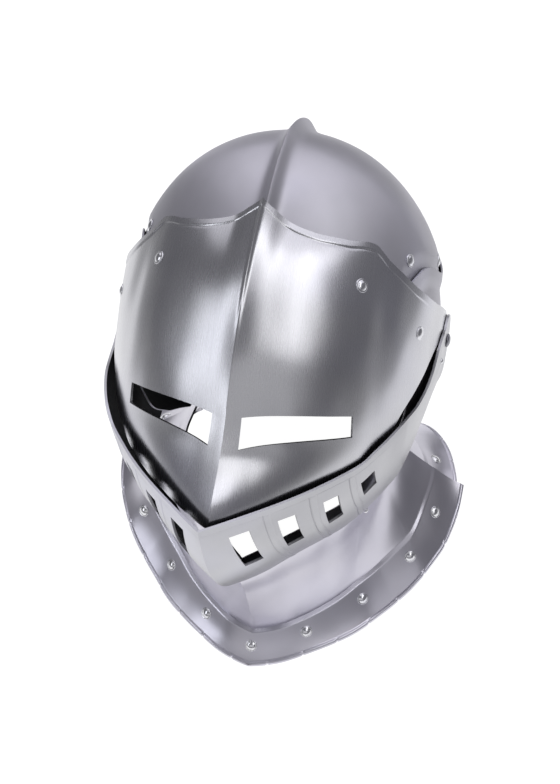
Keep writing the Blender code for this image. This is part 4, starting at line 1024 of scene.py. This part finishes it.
# %% Floor
floor_mesh = bpy.data.meshes.new("floor")
floor_mesh.from_pydata([(-6, -6, 0), (6, -6, 0), (6, 6, 0), (-6, 6, 0)], [], [(0, 1, 2, 3)])
floor = linked("floor", floor_mesh)
pale, tree, board = new_material("pale_board", Base_Color=(0.15, 0.15, 0.15, 1.0), Roughness=0.9,
                                 Emission_Color=(1.0, 1.0, 1.0, 1.0))
where = add_node(tree, "TexCoord").outputs["Object"]
table = add_node(tree, "Mapping", {"vector_type": "TEXTURE"}, Location=(-0.06, 0.16, 0.0),
                 Rotation=(0.0, 0.0, math.radians(16.0)), Scale=(0.86, 1.2, 1.0), Vector=where)
length = add_node(tree, "VectorMath", {"operation": "LENGTH"}, Vector=table.outputs["Vector"])
glow = add_node(tree, "MapRange", {"interpolation_type": "SMOOTHSTEP"}, From_Min=0.72, From_Max=1.05,
                To_Min=1.0, To_Max=0.25, Value=length.outputs["Value"])
feed(tree, board, Emission_Strength=glow.outputs["Result"])
floor_mesh.materials.append(pale)

# %% Lights
MIDDLE = np.array([0.0, 0.0, 0.20])


def heading(azimuth, elevation):
    """Unit direction from the helmet: azimuth from straight ahead towards +X, and elevation."""
    a, e = math.radians(azimuth), math.radians(elevation)
    return np.array([math.sin(a) * math.cos(e), -math.cos(a) * math.cos(e), math.sin(e)])


def soft_box(name, start, end, distance, width, radiance, colour=(1.0, 1.0, 1.0)):
    """A rectangular soft box whose long middle line runs from one heading to the other."""
    a, b = (MIDDLE + distance * heading(*h) for h in (start, end))
    middle, along, away = (a + b) / 2.0, unit(b - a), unit((a + b) / 2.0 - MIDDLE)
    across = np.cross(along, away)
    size = float(np.linalg.norm(b - a))
    data = bpy.data.lights.new(name, "AREA")
    data.shape = "RECTANGLE"
    data.size, data.size_y = size, width
    data.energy = radiance * math.pi * size * width
    data.color = colour
    light = linked(name, data)
    light.matrix_world = placed((along, -across, away), middle)
    return light


soft_box("right_box", (44.0, 38.0), (122.0, 58.0), 1.8, 0.50, 2.15)
soft_box("left_box", (-47.0, 12.0), (-70.0, 48.0), 1.8, 0.42, 2.45, (0.94, 0.96, 1.0))
soft_box("front_fill", (-28.0, 22.0), (45.0, 22.0), 2.4, 1.1, 0.45)
soft_box("back_fill", (-125.0, 30.0), (125.0, 30.0), 2.2, 1.8, 0.78, (0.96, 0.95, 1.0))
soft_box("overhead_box", (0.0, 70.0), (180.0, 50.0), 2.4, 2.2, 0.56, (0.95, 0.94, 1.0))
world = bpy.data.worlds.new("studio")
world.use_nodes = True
bpy.context.scene.world = world
world.node_tree.nodes["Background"].inputs["Color"].default_value = (0.60, 0.595, 0.64, 1.0)
world.node_tree.nodes["Background"].inputs["Strength"].default_value = 0.30

# %% Camera
AZIMUTH, ELEVATION = math.radians(13.458), math.radians(40.129)    # in the helmet's own axes
DISTANCE, LENS, SENSOR = 1000.0, 67.69, 36.0
SLIDE_X, SLIDE_Z = 4.136, 49.074       # the view's centre above and beside the middle of the skull
back_dir = np.array([math.sin(AZIMUTH) * math.cos(ELEVATION), math.cos(AZIMUTH) * math.cos(ELEVATION),
                     math.sin(ELEVATION)])
right_dir = np.array([math.cos(AZIMUTH), -math.sin(AZIMUTH), 0.0])
up_dir = np.cross(right_dir, back_dir)
eye = back_dir * DISTANCE - right_dir * SLIDE_X - up_dir * SLIDE_Z
lens = bpy.data.cameras.new("camera")
lens.lens, lens.sensor_width, lens.sensor_height, lens.sensor_fit = LENS, SENSOR, SENSOR, "VERTICAL"
lens.clip_start, lens.clip_end = 0.01, 50.0
camera = linked("camera", lens)
camera.matrix_world = placed([turned(v) for v in (right_dir, up_dir, back_dir)], standing(eye))
bpy.context.scene.camera = camera
bpy.context.scene.view_settings.view_transform = "Standard"
print("camera at", standing(eye).round(3))
